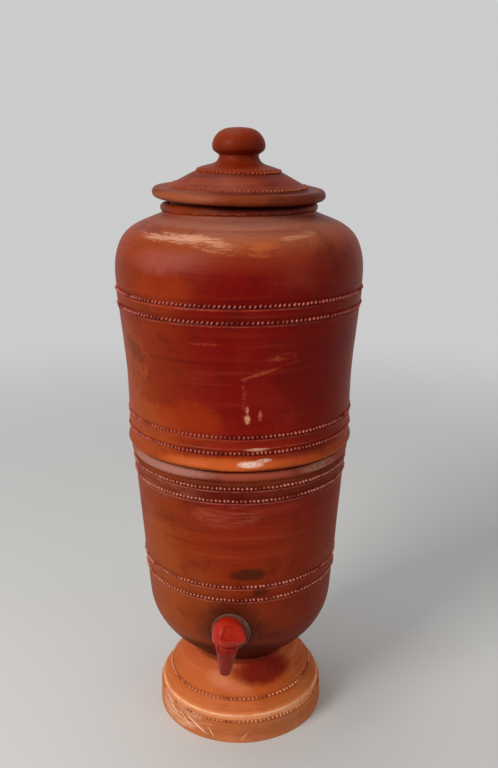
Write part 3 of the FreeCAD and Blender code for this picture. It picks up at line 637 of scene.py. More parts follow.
lowerShape = {
    "corners": [
        (0.0, 75.0), (34.5, 75.0, 2.0), (58.0, 80.9, 2.0), (74.0, 94.2, 10.0), (87.0, 109.0, 12.0),
        (95.2, 125.0, 12.0), (98.7, 138.0, 8.0),
        (101.2, 171.0), (101.5, 171.9, 0.4), (101.9, 172.6, 0.4), (101.4, 173.2, 0.5),
        (100.9, 176.1, 1.2), (101.6, 179.2, 0.5), (101.9, 179.6),
        (102.4, 186.0), (102.6, 186.9, 0.4), (103.0, 187.6, 0.4), (102.5, 188.2, 0.5),
        (102.0, 191.1, 1.2), (102.8, 194.2, 0.5), (103.2, 194.8),
        (109.6, 280.8), (109.9, 281.7, 0.4), (110.4, 282.4, 0.4), (109.8, 283.0, 0.5),
        (109.3, 285.9, 1.2), (110.2, 289.0, 0.5), (110.5, 289.6),
        (110.8, 294.0), (111.0, 294.9, 0.4), (111.5, 295.6, 0.4), (110.8, 296.2, 0.5),
        (110.3, 299.1, 1.2), (111.0, 302.2, 0.5), (111.4, 303.4, 0.6), (109.6, 305.0, 0.8),
        (112.4, 306.6, 1.5), (113.6, 310.4, 2.2), (111.4, 315.6, 1.2), (100.4, 315.8, 1.0),
        (100.2, 300.0, 2.0), (89.4, 138.0, 8.0), (85.8, 124.5, 10.0), (77.0, 110.0, 10.0),
        (64.0, 96.0, 8.0), (48.0, 86.2, 6.0), (0.0, 86.2),
    ],
    "steps": 208,
    "longest": 3.4,
    "waves": ((80.0, 0.6), (18.0, 0.22)),
    "padRadius": 21.0,
    "padFade": 8.0,
    "padFace": 98.5,
    "frontFrom": 90.0,
    "outerFrom": 93.6,
}

lowerClay = {
    "name": "lowerClay",
    "span": (75.0, 316.0),
    # the lowest bands darken towards the bottom of the bowl: painted shade under it, over the stand
    "bands": [
        (75.0, (64, 12, 5)), (100.0, (88, 22, 8)), (124.0, (112, 36, 14)), (140.0, (122, 42, 16)),
        (172.0, (130, 42, 12)), (195.0, (134, 42, 12)), (240.0, (136, 38, 10)), (270.0, (132, 30, 10)),
        (281.0, (118, 20, 9)), (285.0, (94, 11, 6)), (302.0, (78, 8, 5)), (305.0, (74, 8, 5)),
        (309.0, (142, 52, 40)), (313.0, (154, 78, 64)), (316.0, (108, 30, 18)),
    ],
    "lighter": (160, 74, 36),
    "darker": (74, 14, 6),
    "mottle": 0.50,
    "redAngle": 24,
    "redSpread": (0.35, 1.15),
    "sideToneAndLightStrength": 0.60,
    "sideToneAndLightColour": (134, 56, 8),
    "rows": (175.3, 190.3, 285.1, 298.3),
    "rowHalf": 2.9,
    "rowDirtAndShade": 0.85,
    "ridges": (172.6, 187.6, 282.4, 295.6),
    "ridgeHalf": 0.9,
    "ridgeWearAndHighlight": 0.55,
    "ridgeWearAndHighlightColour": (186, 96, 78),
    "speckColour": (178, 96, 62),
    "patches": [
        # painted light: the next two spots give the lit left side its orange-brown
        spot((-50, 190), (26, 85), 0.45, (156, 74, 26), ragged=1.4),
        spot((-40, 130), (24, 24), 0.40, (158, 72, 22), ragged=1.2),
        # painted shade low on the bowl, over the stand
        spot((-20, 98), (36, 20), 0.80, (62, 13, 3), ragged=1.0),
        # painted shade on the right side, away from the lamps
        spot((56, 210), (30, 110), 0.45, (112, 24, 6), ragged=1.2),
        spot((-1, 270), (22, 16), 0.40, (172, 90, 66), "streaky", "dusty", ragged=1.6),
        spot((10, 205), (13, 9), 0.80, (62, 24, 10), ragged=1.2),
        spot((17, 184), (6, 6), 0.65, (60, 22, 10), ragged=1.0),
        spot((0, 143), (23, 36), 0.75, (66, 24, 10), ragged=1.1),
        # the bowl's bottom below the tap: the dark stain there together with painted shade under the
        # bowl
        spot((8, 100), (34, 24), 0.75, (50, 10, 5), ragged=0.9),
        spot((50, 311), (16, 6), 0.7, (172, 128, 112), "flaky", "dusty", ragged=1.4),
        spot((-38, 312), (36, 7), 0.65, (176, 124, 112), "dusty", ragged=1.4),
        spot((-38, 290), (26, 14), 0.45, (158, 92, 76), "streaky", "dusty", ragged=1.5),
    ],
    "roughness": 0.46,
    "sheen": 0.07,
    "relief": 1.1,
}

# upper vessel

upperShape = {
    "corners": [
        (0.0, 300.2), (97.6, 300.2, 1.5), (97.8, 316.1, 0.8), (111.4, 316.1, 1.0),
        (115.6, 318.6, 2.0), (116.6, 321.2, 2.0), (115.6, 324.4, 1.8), (113.8, 326.4, 1.2),
        (114.2, 330.0), (113.5, 332.8, 0.5), (113.2, 335.7, 1.2), (113.7, 338.5, 0.5),
        (114.7, 339.0, 0.4), (114.9, 339.7, 0.4), (114.3, 340.6),
        (114.4, 346.6), (114.6, 347.4, 0.4), (115.0, 348.1, 0.4), (114.2, 348.7, 0.5),
        (113.6, 351.6, 1.2), (114.4, 354.6, 0.5), (114.6, 355.4),
        (115.0, 388.0, 20.0),
        (121.2, 455.2), (121.5, 456.0, 0.4), (121.9, 456.7, 0.4), (121.2, 457.3, 0.5),
        (120.6, 460.2, 1.2), (121.6, 463.2, 0.5), (122.4, 464.2, 0.8), (122.9, 471.2, 0.8),
        (122.0, 472.2, 0.5), (121.7, 475.1, 1.2), (122.3, 478.2, 0.5), (123.0, 479.4, 1.0),
        (123.4, 488.0), (123.3, 500.0, 6.0), (120.6, 514.0, 8.0), (114.6, 526.4, 9.0),
        (104.0, 535.2, 7.0), (92.0, 540.4, 5.0), (78.4, 545.6, 4.0), (75.6, 547.4, 1.4),
        (77.8, 550.0, 1.6), (77.6, 553.6, 1.6), (75.0, 556.3, 1.0), (70.6, 556.2, 1.0),
        (70.4, 540.0, 3.0), (100.0, 526.0, 10.0), (113.2, 500.0, 10.0), (113.8, 480.0, 6.0),
        (105.6, 388.0, 12.0), (104.8, 332.0, 4.0), (88.4, 312.2, 4.0), (0.0, 312.2),
    ],
    "steps": 208,
    "longest": 3.4,
    "waves": ((90.0, 0.7), (20.0, 0.22)),
}

upperClay = {
    "name": "upperClay",
    "span": (300.0, 557.0),
    "bands": [
        # the bands at the mouth's lip darken: painted shade under the lip and painted shadow of the
        # lid's flange on the rim's top
        (300.0, (110, 40, 20)), (316.0, (140, 50, 20)), (320.0, (182, 80, 32)), (326.0, (176, 70, 26)),
        (332.0, (142, 38, 12)), (346.0, (130, 22, 7)), (365.0, (122, 10, 4)), (410.0, (114, 6, 3)),
        (452.0, (116, 7, 3)), (480.0, (110, 4, 2)), (502.0, (116, 12, 5)), (516.0, (136, 44, 18)),
        (528.0, (154, 76, 44)), (539.0, (150, 84, 60)), (546.0, (128, 58, 40)), (549.0, (76, 16, 7)),
        (551.0, (98, 30, 13)), (553.4, (48, 8, 4)), (557.0, (24, 4, 2)),
    ],
    "lighter": (146, 52, 26),
    "darker": (66, 7, 3),
    "mottle": 0.45,
    "redAngle": 22,
    "redSpread": (0.35, 1.15),
    "sideToneAndLightStrength": 0.70,
    "sideToneAndLightColour": (134, 50, 8),
    "rows": (334.9, 350.8, 459.4, 474.3),
    "rowHalf": 2.9,
    "rowDirtAndShade": 0.85,
    "ridges": (339.7, 348.1, 456.7, 471.6),
    "ridgeHalf": 0.9,
    "ridgeWearAndHighlight": 0.50,
    "ridgeWearAndHighlightColour": (178, 80, 58),
    "speckColour": (180, 92, 58),
    "patches": [
        # painted light: the next three spots give the lit left side its orange-brown
        spot((-52, 350), (36, 34), 0.50, (168, 76, 30), ragged=1.3),
        spot((-20, 362), (22, 26), 0.55, (156, 48, 8), ragged=1.3),
        spot((-30, 486), (20, 20), 0.50, (152, 48, 9), ragged=1.2),
        spot((-60, 410), (22, 50), 0.50, (170, 84, 32), "flaky", ragged=1.6),
        # painted shade on the right side, away from the lamps
        spot((52, 420), (30, 120), 0.45, (104, 16, 4), ragged=1.2),
        spot((-28, 531), (32, 5), 0.85, (204, 146, 118), "streaky", "dusty", ragged=1.2, lean=0.5),
        spot((-6, 527), (20, 7), 0.85, (206, 142, 112), "streaky", "dusty", ragged=1.4, lean=0.9),
        spot((14, 524), (15, 8), 0.60, (182, 92, 46), "streaky", ragged=1.4),
        spot((37, 533), (16, 3), 0.65, (202, 138, 104), "streaky", "dusty", ragged=1.4, lean=-1.0),
        spot((0, 543), (80, 6), 0.55, (166, 108, 90), "dusty", ragged=1.2),
        spot((-160, 541), (90, 9), 0.5, (160, 100, 80), "dusty", ragged=1.2),
        spot((0, 550), (95, 2), 0.45, (166, 84, 58), "flaky", "dusty", ragged=1.6),
        # painted highlight: a soft pinkish sheen on the shoulder
        spot((-32, 511), (20, 15), 0.62, (184, 104, 94), ragged=0.9, core=-1.0),
        spot((26, 425), (12, 8), 0.55, (168, 80, 46), "flaky", "streaky", "dusty", ragged=1.7),
        spot((14, 412), (12, 2.4), 0.60, (172, 82, 50), "flaky", "dusty", ragged=1.4, lean=-3.0),
        spot((7.5, 390), (1.3, 28), 0.45, (158, 66, 38), "flaky", "dusty", ragged=1.6),
        spot((-9, 440), (11, 1.8), 0.50, (166, 66, 40), "flaky", "dusty", ragged=1.3),
        spot((-52, 422), (10, 12), 0.5, (84, 28, 14), ragged=1.3, lean=0.6),
        spot((9, 369), (1.8, 6), 0.90, (216, 152, 120), "flaky", "dusty", ragged=1.7),
        spot((9, 378), (1.0, 5), 0.80, (206, 136, 104), "flaky", "dusty", ragged=1.7),
        spot((15, 372), (1.3, 7), 0.6, (196, 116, 84), "flaky", "dusty", ragged=1.7),
        spot((-4, 324), (36, 8), 0.60, (208, 98, 38), ragged=1.0),
        spot((14, 339), (8, 2.2), 0.9, (226, 172, 146), "flaky", "dusty", ragged=3.0),
        spot((10.5, 325), (8, 4), 1.0, (232, 196, 178), "flaky", "dusty", ragged=2.8),
        spot((17, 328), (5, 2.6), 0.9, (228, 186, 166), "flaky", "dusty", ragged=3.0),
    ],
    "roughness": 0.42,
    "sheen": 0.08,
    "relief": 0.9,
}

# lid

lidShape = {
    "corners": [
        (0.0, 580.4), (32.0, 579.0, 6.0), (60.0, 562.6, 3.0),
        (60.4, 544.7, 1.2), (68.0, 544.7, 1.2), (68.0, 556.7, 1.0), (82.0, 556.7, 1.5),
        (84.8, 559.2, 2.0), (85.2, 562.4, 2.5), (83.2, 566.6, 2.5), (79.0, 567.6, 1.5),
        (71.2, 567.0, 1.0), (69.4, 566.6, 0.6), (68.2, 568.0, 0.8), (65.6, 570.0, 0.8),
        (63.8, 570.8, 1.0), (54.0, 576.2, 8.0), (42.8, 582.0, 0.8), (41.0, 582.0, 0.5),
        (39.6, 584.0, 0.5), (38.8, 585.4, 0.7), (37.4, 586.0, 0.7), (25.8, 589.4, 2.0),
        (21.6, 592.6, 2.0), (19.7, 597.6, 2.4), (19.6, 600.2, 1.8),
        (22.0, 602.0, 1.6), (25.4, 604.4, 2.4), (26.5, 608.8, 3.0), (25.6, 613.8, 3.4),
        (22.2, 619.8, 5.0), (15.6, 625.0, 6.0), (6.4, 626.6, 5.0), (0.0, 626.7),
    ],
    "steps": 176,
    "longest": 3.0,
    "waves": ((50.0, 0.6), (12.0, 0.22)),
    "lean": 1.6,
    "nod": 1.8,
    "leanFull": 588.0,
    "leanEnd": 602.0,
    "rest": 77.5,
    "settle": 0.3,
}

lidClay = {
    "name": "lidClay",
    "span": (544.0, 627.0),
    "bands": [
        (544.0, (90, 30, 14)), (556.5, (92, 26, 12)), (559.0, (114, 44, 18)), (564.0, (126, 54, 24)),
        (568.0, (126, 46, 18)), (572.0, (124, 36, 10)), (584.0, (124, 34, 9)), (592.0, (120, 34, 8)),
        (600.0, (104, 24, 6)), (608.0, (108, 26, 5)), (620.0, (122, 38, 9)), (627.0, (126, 42, 10)),
    ],
    "lighter": (160, 82, 50),
    "darker": (70, 16, 7),
    "mottle": 0.45,
    "redAngle": 40,
    "redSpread": (0.30, 1.20),
    "sideToneAndLightStrength": 0.35,
    "sideToneAndLightColour": (134, 48, 16),
    "rows": (568.0, 582.4),
    "rowHalf": 2.4,
    "rowDirtAndShade": 0.60,
    "ridges": (572.2,),
    "ridgeHalf": 0.7,
    "ridgeWearAndHighlight": 0.30,
    "ridgeWearAndHighlightColour": (168, 90, 62),
    "speckColour": (172, 96, 66),
    "patches": [
        spot((-38, 564), (38, 7), 0.50, (164, 94, 64), "dusty", ragged=1.4),
        # painted shade on the flange's right side, away from the lamps
        spot((62, 562), (40, 9), 0.50, (92, 26, 12), ragged=1.0),
        spot((170, 563), (70, 7), 0.45, (160, 106, 82), "dusty", ragged=1.4),
    ],
    "roughness": 0.44,
    "sheen": 0.07,
    "relief": 0.9,
}

tapPlace = Vector((0, -139.0, 140.0)) * mm


def pressFlatPad(piece, shape):
    # the clay is pressed flat where the tap's washer seats, and fades into the round wall
    for vertex in piece.data.vertices:
        place = vertex.co
        outer = math.hypot(place.x, place.y) >= shape["outerFrom"] * mm
        if place.y > -shape["frontFrom"] * mm or not outer:
            continue
        away = math.hypot(place.x, place.z - tapPlace.z) / mm
        share = (away - shape["padRadius"]) / shape["padFade"]
        share = 1 - min(1, max(0, share))
        share = share * share * (3 - 2 * share)
        vertex.co.y += (-shape["padFace"] * mm - place.y) * share
    piece.data.update()


def leanRim(piece, shape):
    # the lid sits askew: its flange and cone fall to the right and front, and its knob is upright
    right = math.tan(math.radians(shape["lean"]))
    front = math.tan(math.radians(shape["nod"]))
    lift = (shape["rest"] * math.hypot(right, front) - shape["settle"]) * mm
    for vertex in piece.data.vertices:
        share = (shape["leanEnd"] - vertex.co.z / mm) / (shape["leanEnd"] - shape["leanFull"])
        share = min(1, max(0, share))
        vertex.co.z += (lift - vertex.co.x * right + vertex.co.y * front) * share
    piece.data.update()


def flattenFoot(piece, below):
    # everything near the floor stands on it
    for vertex in piece.data.vertices:
        if vertex.co.z < below * mm:
            vertex.co.z = 0
    piece.data.update()


potStand = spinPiece("potStand", standShape)
unevenClay(potStand, standShape["waves"])
flattenFoot(potStand, standShape["footFlat"])
dress(potStand, "stand", clayFinish(standClay), ("stand",))

lowerPot = spinPiece("lowerPot", lowerShape)
unevenClay(lowerPot, lowerShape["waves"])
pressFlatPad(lowerPot, lowerShape)
dress(lowerPot, "lower", clayFinish(lowerClay), ("lower_vessel",))

upperPot = spinPiece("upperPot", upperShape)
unevenClay(upperPot, upperShape["waves"])
dress(upperPot, "upper", clayFinish(upperClay), ("upper_vessel",))

potLid = spinPiece("potLid", lidShape)
unevenClay(potLid, lidShape["waves"])
leanRim(potLid, lidShape)
dress(potLid, "lid", clayFinish(lidClay), ("lid",))
print("clay pieces are turned")


# rows of clay beads

beadShape = {
    "wide": 1.45,
    "proud": 1.75,
    "tall": 1.30,
    "segments": 8,
    "rings": 6,
    "turnVary": (-0.09, 0.09),
    "pressVary": (-0.28, 0.12),
    "riseVary": (-0.25, 0.25),
    "sizeVary": (0.90, 1.04),
    "slantVary": (-5, 5),
    "slantStretch": 0.012,
}

beadClays = {
    "stand": {"name": "standBeadClay", "slot": "stand_clay", "colour": (186, 100, 60),
              "lighter": (222, 148, 108), "darker": (120, 46, 20)},
    "lower": {"name": "lowerBeadClay", "slot": "vessel_clay", "colour": (156, 68, 50),
              "lighter": (204, 124, 104), "darker": (104, 26, 14)},
    "upper": {"name": "upperBeadClay", "slot": "vessel_clay", "colour": (142, 46, 34),
              "lighter": (192, 100, 86), "darker": (92, 14, 8)},
    "lid": {"name": "lidBeadClay", "slot": "lid_clay", "colour": (136, 54, 28),
            "lighter": (156, 76, 46), "darker": (84, 24, 10)},
}

usualRow = {"pitch": 4.1, "slope": 4.0, "slant": 0.0}

beadRows = {
    "standBeads": {"body": "stand", "radius": 77.6, "height": 44.2, "pitch": 4.6, "slope": 58.0,
                   "slant": 24.0},
    "standWallBeads": {"body": "stand", "radius": 89.0, "height": 24.8, "pitch": 4.6,
                       "slope": 8.0, "stretch": 1.3},
    "lowerBeadsFirst": {"body": "lower", "radius": 101.2, "height": 176.1},
    "lowerBeadsSecond": {"body": "lower", "radius": 102.3, "height": 191.1},
    "lowerBeadsThird": {"body": "lower", "radius": 109.6, "height": 285.9},
    "lowerBeadsFourth": {"body": "lower", "radius": 110.6, "height": 299.1},
    "upperBeadsFirst": {"body": "upper", "radius": 113.7, "height": 335.7, "pitch": 4.2,
                        "slope": 1.0, "slant": -14.0},
    "upperBeadsSecond": {"body": "upper", "radius": 113.9, "height": 351.6, "pitch": 4.2,
                         "slope": 1.0, "slant": -14.0},
    "upperBeadsThird": {"body": "upper", "radius": 121.1, "height": 460.2, "pitch": 4.5,
                        "slope": 5.0, "slant": -36.0},
    "upperBeadsFourth": {"body": "upper", "radius": 122.2, "height": 475.1, "pitch": 4.5,
                         "slope": 3.0, "slant": -36.0},
    "lidBeadsOuter": {"body": "lid", "radius": 66.2, "height": 568.6, "pitch": 4.2,
                      "slope": 50.0, "slant": 22.0},
    "lidBeadsInner": {"body": "lid", "radius": 40.2, "height": 582.8, "pitch": 4.2,
                      "slope": 40.0, "slant": 12.0},
}

beadPatterns = {
    "cloudy": {"scale": 60.0, "detail": 4.0, "roughness": 0.6},
    "grain": {"scale": 700.0, "roughness": 0.65},
}
beadLook = {
    "refraction": 1.36,
    "specular": 0.2,
    "grainShare": 0.4,
    "pale": (0.52, 0.80),
    "dark": (0.46, 0.28),
    "darkStrength": 0.8,
    "roughness": 0.46,
    "roughVary": 0.2,
    "relief": 0.2,
}


def beadFinish(settings):
    # pale from rubbing in cloudy patches, with dark clay left here and there
    look = beadLook
    finish = Finish(settings["name"], IOR=look["refraction"], Specular_IOR_Level=look["specular"])
    noises = finish.noises(beadPatterns)
    cloudy, grain = noises["cloudy"], noises["grain"]
    pale = (cloudy + grain * look["grainShare"]).between(*look["pale"])
    shade = finish.mix(pale, colour(*settings["colour"]), colour(*settings["lighter"]))
    dark = cloudy.between(*look["dark"]) * look["darkStrength"]
    shade = finish.mix(dark, shade, colour(*settings["darker"]))
    finish.bump(grain, look["relief"] * mm)
    gloss = (grain - 0.5) * look["roughVary"] + look["roughness"]
    return finish.wear(Base_Color=shade, Roughness=gloss)


def makeBead():
    # one ball, pressed a little flat; X is across the wall, Y along the row and Z up
    startFresh()
    bpy.ops.mesh.primitive_uv_sphere_add(segments=beadShape["segments"],
                                         ring_count=beadShape["rings"], radius=1.0)
    bead = bpy.context.active_object
    bead.name = "bead"
    bead.scale = (beadShape["tall"] * mm, beadShape["wide"] * mm, beadShape["proud"] * mm)
    bead.rotation_euler = (0, math.radians(90), 0)
    bpy.ops.object.transform_apply(location=True, rotation=True, scale=True)
    bpy.ops.object.shade_smooth()
    return bead


def makeBeadRow(name, row, bead):
    row = {**usualRow, **row}
    count = round(math.tau * row["radius"] / row["pitch"])
    copies = []
    for number in range(count):
        turn = math.tau * (number + random.uniform(*beadShape["turnVary"])) / count
        press = random.uniform(*beadShape["pressVary"])
        rise = random.uniform(*beadShape["riseVary"])
        size = random.uniform(*beadShape["sizeVary"])
        slant = math.radians(row["slant"] + random.uniform(*beadShape["slantVary"]))
        stretch = row.get("stretch", 1.0 + abs(row["slant"]) * beadShape["slantStretch"])
        place = Vector((row["radius"] + press, 0, row["height"] + rise)) * mm
        copy = bead.copy()
        copy.data = bead.data.copy()
        lean = Matrix.Rotation(-math.radians(row["slope"]), 4, "Y")
        twist = Matrix.Rotation(slant, 4, "X")
        shape = Matrix.Diagonal((size, size / stretch, size * stretch, 1))
        around = Matrix.Rotation(turn, 4, "Z")
        copy.matrix_world = around @ Matrix.Translation(place) @ lean @ twist @ shape
        bpy.context.scene.collection.objects.link(copy)
        copies.append(copy)
    return joinPieces(copies, name)


bead = makeBead()
beadMaterials = {body: beadFinish(clay) for body, clay in beadClays.items()}
for rowName, row in beadRows.items():
    beads = makeBeadRow(rowName, row, bead)
    if row["body"] == "lid":
        leanRim(beads, lidShape)
    dress(beads, row["body"], beadMaterials[row["body"]])
bpy.data.objects.remove(bead)
print("bead rows are set")


# tap

tapLean = Matrix.Rotation(math.radians(4.5), 4, "Y")
leverTurn = Matrix.Rotation(math.radians(18.0), 4, "Z")
alongShank = Matrix.Rotation(math.radians(-90.0), 4, "X")
tapSmooth = 40

plasticPatterns = {
    "cloudy": {"scale": 90.0, "detail": 4.0, "roughness": 0.6},
    "grime": {"scale": 420.0, "detail": 4.0, "roughness": 0.7},
}
plasticLook = {
    "refraction": 1.45,
    "specular": 0.22,
    "pale": (0.5, 0.8),
    "paleStrength": 0.4,
    "dark": (0.50, 0.28),
    "reliefShares": (0.4, 0.35),
    "relief": 0.12,
    "roughVary": 0.3,
}


def fitToTap(piece, *turns):
    # from the tap's own frame, where the shank runs along +Y, to its place on the pot
    activate(piece)
    place = Matrix.Translation(tapPlace) @ tapLean
    for turn in turns:
        place = place @ turn
    piece.matrix_world = place
    bpy.ops.object.transform_apply(location=True, rotation=True, scale=True)


def plasticFinish(settings):
    look = plasticLook
    finish = Finish(settings["name"], IOR=look["refraction"], Specular_IOR_Level=look["specular"])
    noises = finish.noises(plasticPatterns)
    cloudy, grime = noises["cloudy"], noises["grime"]
    pale = cloudy.between(*look["pale"]) * look["paleStrength"]
    shade = finish.mix(pale, colour(*settings["colour"]), colour(*settings["lighter"]))
    dark = grime.between(*look["dark"]) * settings["grime"]
    shade = finish.mix(dark, shade, colour(*settings["darker"]))
    cloudyShare, grimeShare = look["reliefShares"]
    finish.bump(cloudy * cloudyShare + grime * grimeShare, look["relief"] * mm)
    gloss = (grime - 0.5) * look["roughVary"] + settings["roughness"]
    return finish.wear(Base_Color=shade, Roughness=gloss)


leverPlastic = {"name": "leverPlastic", "colour": (172, 32, 12), "lighter": (196, 60, 30),
                "darker": (110, 22, 10), "grime": 0.5, "roughness": 0.38}
bonnetPlastic = {"name": "bonnetPlastic", "colour": (146, 26, 10), "lighter": (176, 58, 32),
                 "darker": (64, 10, 5), "grime": 0.7, "roughness": 0.36}
spoutPlastic = {"name": "spoutPlastic", "colour": (128, 28, 6), "lighter": (166, 62, 24),
                "darker": (66, 10, 3), "grime": 0.7, "roughness": 0.38}
washerRubber = {"name": "washerRubber", "colour": (104, 66, 54), "lighter": (160, 118, 102),
                "darker": (48, 24, 18), "grime": 0.8, "roughness": 0.6}
leverMaterial = plasticFinish(leverPlastic)
bonnetMaterial = plasticFinish(bonnetPlastic)
spoutMaterial = plasticFinish(spoutPlastic)
washerMaterial = plasticFinish(washerRubber)

spoutShape = {
    "corners": [
        (3.9, -21.0, 0.3), (4.9, -21.0, 0.4), (5.3, -20.5, 0.4), (5.4, -18.4, 0.2),
        (5.8, -18.2, 0.2), (9.9, 3.6, 2.0), (10.4, 7.0, 0.3), (10.0, 7.4), (10.0, 12.5, 0.2),
        (6.8, 12.5, 0.2), (6.8, -5.0, 0.4), (3.9, -5.2, 0.4),
    ],
    "closed": True,
    "steps": 64,
    "longest": 2.0,
}
shankShape = {
    "corners": [
        (4.5, 8.4), (7.6, 8.4), (7.6, 31.0, 1.6), (9.4, 33.3, 1.4), (15.0, 33.6, 0.6),
        (15.5, 34.6, 0.6), (15.5, 37.3, 0.4), (10.4, 37.4, 0.2), (10.4, 68.2, 0.8),
        (4.5, 68.4, 0.6),
    ],
    "closed": True,
    "steps": 64,
    "longest": 2.5,
}
washerShape = {
    "corners": [
        (10.7, 37.55, 0.3), (16.2, 37.7, 0.3), (16.6, 38.1, 0.3), (17.6, 38.1, 0.3),
        (18.0, 37.7, 0.3), (19.6, 37.8, 0.6), (20.0, 38.6, 0.6), (20.0, 40.2, 0.4),
        (10.7, 40.45, 0.3),
    ],
    "closed": True,
    "steps": 96,
    "longest": 1.5,
}


def turnTapPiece(name, shape, *turns):
    piece = spinPiece(name, shape)
    fitToTap(piece, *turns)
    smoothByAngle(piece, tapSmooth)
    return piece


spout = turnTapPiece("tapSpout", spoutShape)
dress(spout, "lower", spoutMaterial, ("tap_body",))
shank = turnTapPiece("tapShank", shankShape, alongShank)
dress(shank, "lower", spoutMaterial)
washer = turnTapPiece("tapWasher", washerShape, alongShank)
dress(washer, "lower", washerMaterial, ("tap_outer_washer",))

bonnetShape = {
    "corners": [
        (10.15, 7.6, 0.2), (12.2, 7.6, 0.4), (12.6, 8.1), (12.6, 13.9), (12.1, 14.4, 0.4),
        (2.8, 14.4, 0.2), (2.8, 12.55, 0.2), (10.15, 12.55, 0.2),
    ],
    "closed": True,
    "steps": 96,
    "longest": 6.0,
    "pads": 8,
    "side": 12.5,
    "flat": 0.1,
    "slotShare": 0.20,
    "padHeight": 1.1,
    "edge": 0.35,
    "edgeSteps": 2,
    "edgeAngle": 40,
}


def makeBonnet(shape):
    # a screwed collar whose side has raised grip pads with slots between them
    bonnet = spinPiece("tapBonnet", shape)
    activate(bonnet)
    for items in (bonnet.data.vertices, bonnet.data.edges):
        for item in items:
            item.select = False
    for face in bonnet.data.polygons:
        middle = face.center / mm
        outward = abs(face.normal.z) < shape["flat"]
        onSide = math.hypot(middle.x, middle.y) > shape["side"] and outward
        share = (math.atan2(middle.y, middle.x) / math.tau * shape["pads"]) % 1.0
        half = shape["slotShare"] / 2
        face.select = onSide and half < share < 1 - half
    bpy.ops.object.mode_set(mode="EDIT")
    bpy.ops.mesh.select_mode(type="FACE")
    bpy.ops.mesh.extrude_region_shrink_fatten(
        TRANSFORM_OT_shrink_fatten={"value": -shape["padHeight"] * mm})
    bpy.ops.mesh.select_all(action="SELECT")
    bpy.ops.mesh.normals_make_consistent(inside=False)
    bpy.ops.object.mode_set(mode="OBJECT")
    roundEdges(bonnet, shape["edge"], shape["edgeSteps"], shape["edgeAngle"])
    fitToTap(bonnet)
    smoothByAngle(bonnet, tapSmooth)
    return bonnet


dress(makeBonnet(bonnetShape), "lower", bonnetMaterial, ("tap_bonnet",))

leverShape = {
    "flatAngle": 2,
    "edge": 0.45,
    "edgeSteps": 3,
    "edgeAngle": 35,
    "plane": 40.0,
    "slope": 28.0,
    "sunk": 0.85,
    "ribs": (10.5, 13.6, 16.7, 19.8, 22.7),
    "ribSize": 0.42,
    "ribBend": 22.0,
    "ribSpreads": (20.0, 26.0, 32.0, 38.0, 42.0),
    "ribSides": 8,
    "ribSteps": 14,
}


def makeLever(shape):
    # the pressed lever: the frame's solid, its facets joined and its edges rounded
    lever = copyNode("tap_lever", "tapLever")
    bpy.ops.object.mode_set(mode="EDIT")
    bpy.ops.mesh.dissolve_limited(angle_limit=math.radians(shape["flatAngle"]))
    bpy.ops.object.mode_set(mode="OBJECT")
    roundEdges(lever, shape["edge"], shape["edgeSteps"], shape["edgeAngle"])
    smoothByAngle(lever, shape["edgeAngle"])
    return lever


def makeRibs(shape):
    # low curved ribs across the thumb rest, each one a thin arc
    ribs = []
    for place, spread in zip(shape["ribs"], shape["ribSpreads"]):
        startFresh()
        bpy.ops.mesh.primitive_circle_add(vertices=shape["ribSides"],
                                          radius=shape["ribSize"] * mm, fill_type="NGON",
                                          location=(0, -shape["ribBend"] * mm, 0),
                                          rotation=(0, math.radians(90), 0))
        rib = bpy.context.active_object
        half = math.radians(spread) / 2
        bpy.ops.object.mode_set(mode="EDIT")
        bpy.ops.mesh.select_all(action="SELECT")
        bpy.ops.transform.rotate(value=-half, orient_axis="Z", orient_type="GLOBAL",
                                 center_override=(0, 0, 0))
        bpy.ops.mesh.spin(steps=shape["ribSteps"], angle=half * 2, center=(0, 0, 0),
                          axis=upright)
        bpy.ops.mesh.select_all(action="SELECT")
        bpy.ops.mesh.remove_doubles(threshold=joinGap / 2)
        bpy.ops.mesh.normals_make_consistent(inside=False)
        bpy.ops.object.mode_set(mode="OBJECT")
        rib.location = (0, -place * mm, -shape["sunk"] * mm)
        ribs.append(rib)
    joined = joinPieces(ribs, "tapLeverRibs")
    lift = Matrix.Translation((0, 0, shape["plane"] * mm))
    fitToTap(joined, leverTurn, lift, Matrix.Rotation(math.radians(shape["slope"]), 4, "X"))
    bpy.ops.object.shade_smooth()
    return joined


dress(makeLever(leverShape), "lever", leverMaterial, ("tap_lever",))
dress(makeRibs(leverShape), "lever", leverMaterial)
print("tap is built")


# pieces inside, with the frame's own shapes

steelLook = {
    "brushed": {"scale": 300.0, "roughness": 0.5, "drawn": (1.0, 8.0)},
    "colour": (150, 150, 152),
    "lighter": (196, 197, 200),
    "relief": 0.05,
    "roughness": 0.28,
    "roughVary": 0.2,
}

candleLook = {
    "cloudy": {"scale": 40.0, "detail": 5.0, "roughness": 0.6},
    "pores": {"scale": 900.0, "detail": 2.0, "roughness": 0.5},
    "colour": (236, 230, 216),
    "stain": (214, 198, 172),
    "stainSpread": (0.4, 0.75),
    "pit": (178, 160, 132),
    "pitSpread": (0.44, 0.30),
    "pitStrength": 0.5,
    "reliefShares": (0.6, 0.4),
    "relief": 0.25,
    "roughness": 0.82,
    "roughVary": 0.2,
}


def steelFinish(name, look):
    finish = Finish(name, Metallic=1.0, IOR=1.5)
    brushed = finish.noise(**look["brushed"])
    shade = finish.mix(brushed, colour(*look["colour"]), colour(*look["lighter"]))
    finish.bump(brushed, look["relief"] * mm)
    return finish.wear(Base_Color=shade, Roughness=brushed * look["roughVary"] + look["roughness"])


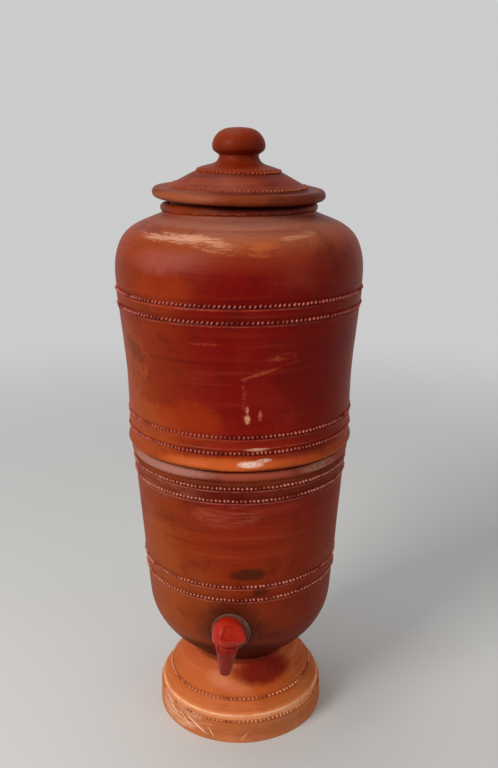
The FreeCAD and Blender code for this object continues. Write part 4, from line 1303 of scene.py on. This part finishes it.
def candleFinish(name, look):
    finish = Finish(name, IOR=1.4)
    cloudy = finish.noise(**look["cloudy"])
    pores = finish.noise(**look["pores"])
    stained = cloudy.between(*look["stainSpread"])
    shade = finish.mix(stained, colour(*look["colour"]), colour(*look["stain"]))
    pitted = pores.between(*look["pitSpread"]) * look["pitStrength"]
    shade = finish.mix(pitted, shade, colour(*look["pit"]))
    poreShare, cloudyShare = look["reliefShares"]
    finish.bump(pores * poreShare + cloudy * cloudyShare, look["relief"] * mm)
    gloss = (pores - 0.5) * look["roughVary"] + look["roughness"]
    return finish.wear(Base_Color=shade, Roughness=gloss)


whitePlastic = {"name": "whitePlastic", "colour": (224, 222, 214), "lighter": (238, 236, 230),
                "darker": (176, 168, 152), "grime": 0.25, "roughness": 0.36}
sealRubber = {"name": "sealRubber", "colour": (40, 38, 37), "lighter": (64, 60, 58),
              "darker": (20, 19, 18), "grime": 0.6, "roughness": 0.72}
whiteMaterial = plasticFinish(whitePlastic)
sealMaterial = plasticFinish(sealRubber)
steelMaterial = steelFinish("springSteel", steelLook)
candleMaterial = candleFinish("candleCeramic", candleLook)

insideFinishes = {
    "tap_stem": whiteMaterial,
    "tap_lever_pin": steelMaterial,
    "tap_seat_cup": sealMaterial,
    "tap_inner_washer": sealMaterial,
    "tap_lock_nut": spoutMaterial,
}
for number in (1, 2):
    insideFinishes[f"candle_{number}_shell"] = candleMaterial
    insideFinishes[f"candle_{number}_base"] = whiteMaterial
    insideFinishes[f"candle_{number}_wing_nut"] = whiteMaterial
    insideFinishes[f"candle_{number}_top_washer"] = sealMaterial
    insideFinishes[f"candle_{number}_bottom_washer"] = sealMaterial
for nodeName, material in insideFinishes.items():
    node = frame["nodes"][nodeName]
    node.data.materials.clear()
    node.data.materials.append(material)

springShape = {"fixedEnd": 12.0, "lift": 3.07, "smoothAngle": 50}


def makeSpring(shape):
    # the closing spring: a smoothed copy of the frame's spring, with a mesh of its own
    spring = copyNode("tap_spring", "tapSpring")
    smoothByAngle(spring, shape["smoothAngle"])
    dress(spring, "lower", steelMaterial, ("tap_spring",))
    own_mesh(spring)


makeSpring(springShape)
print("inside pieces are finished")
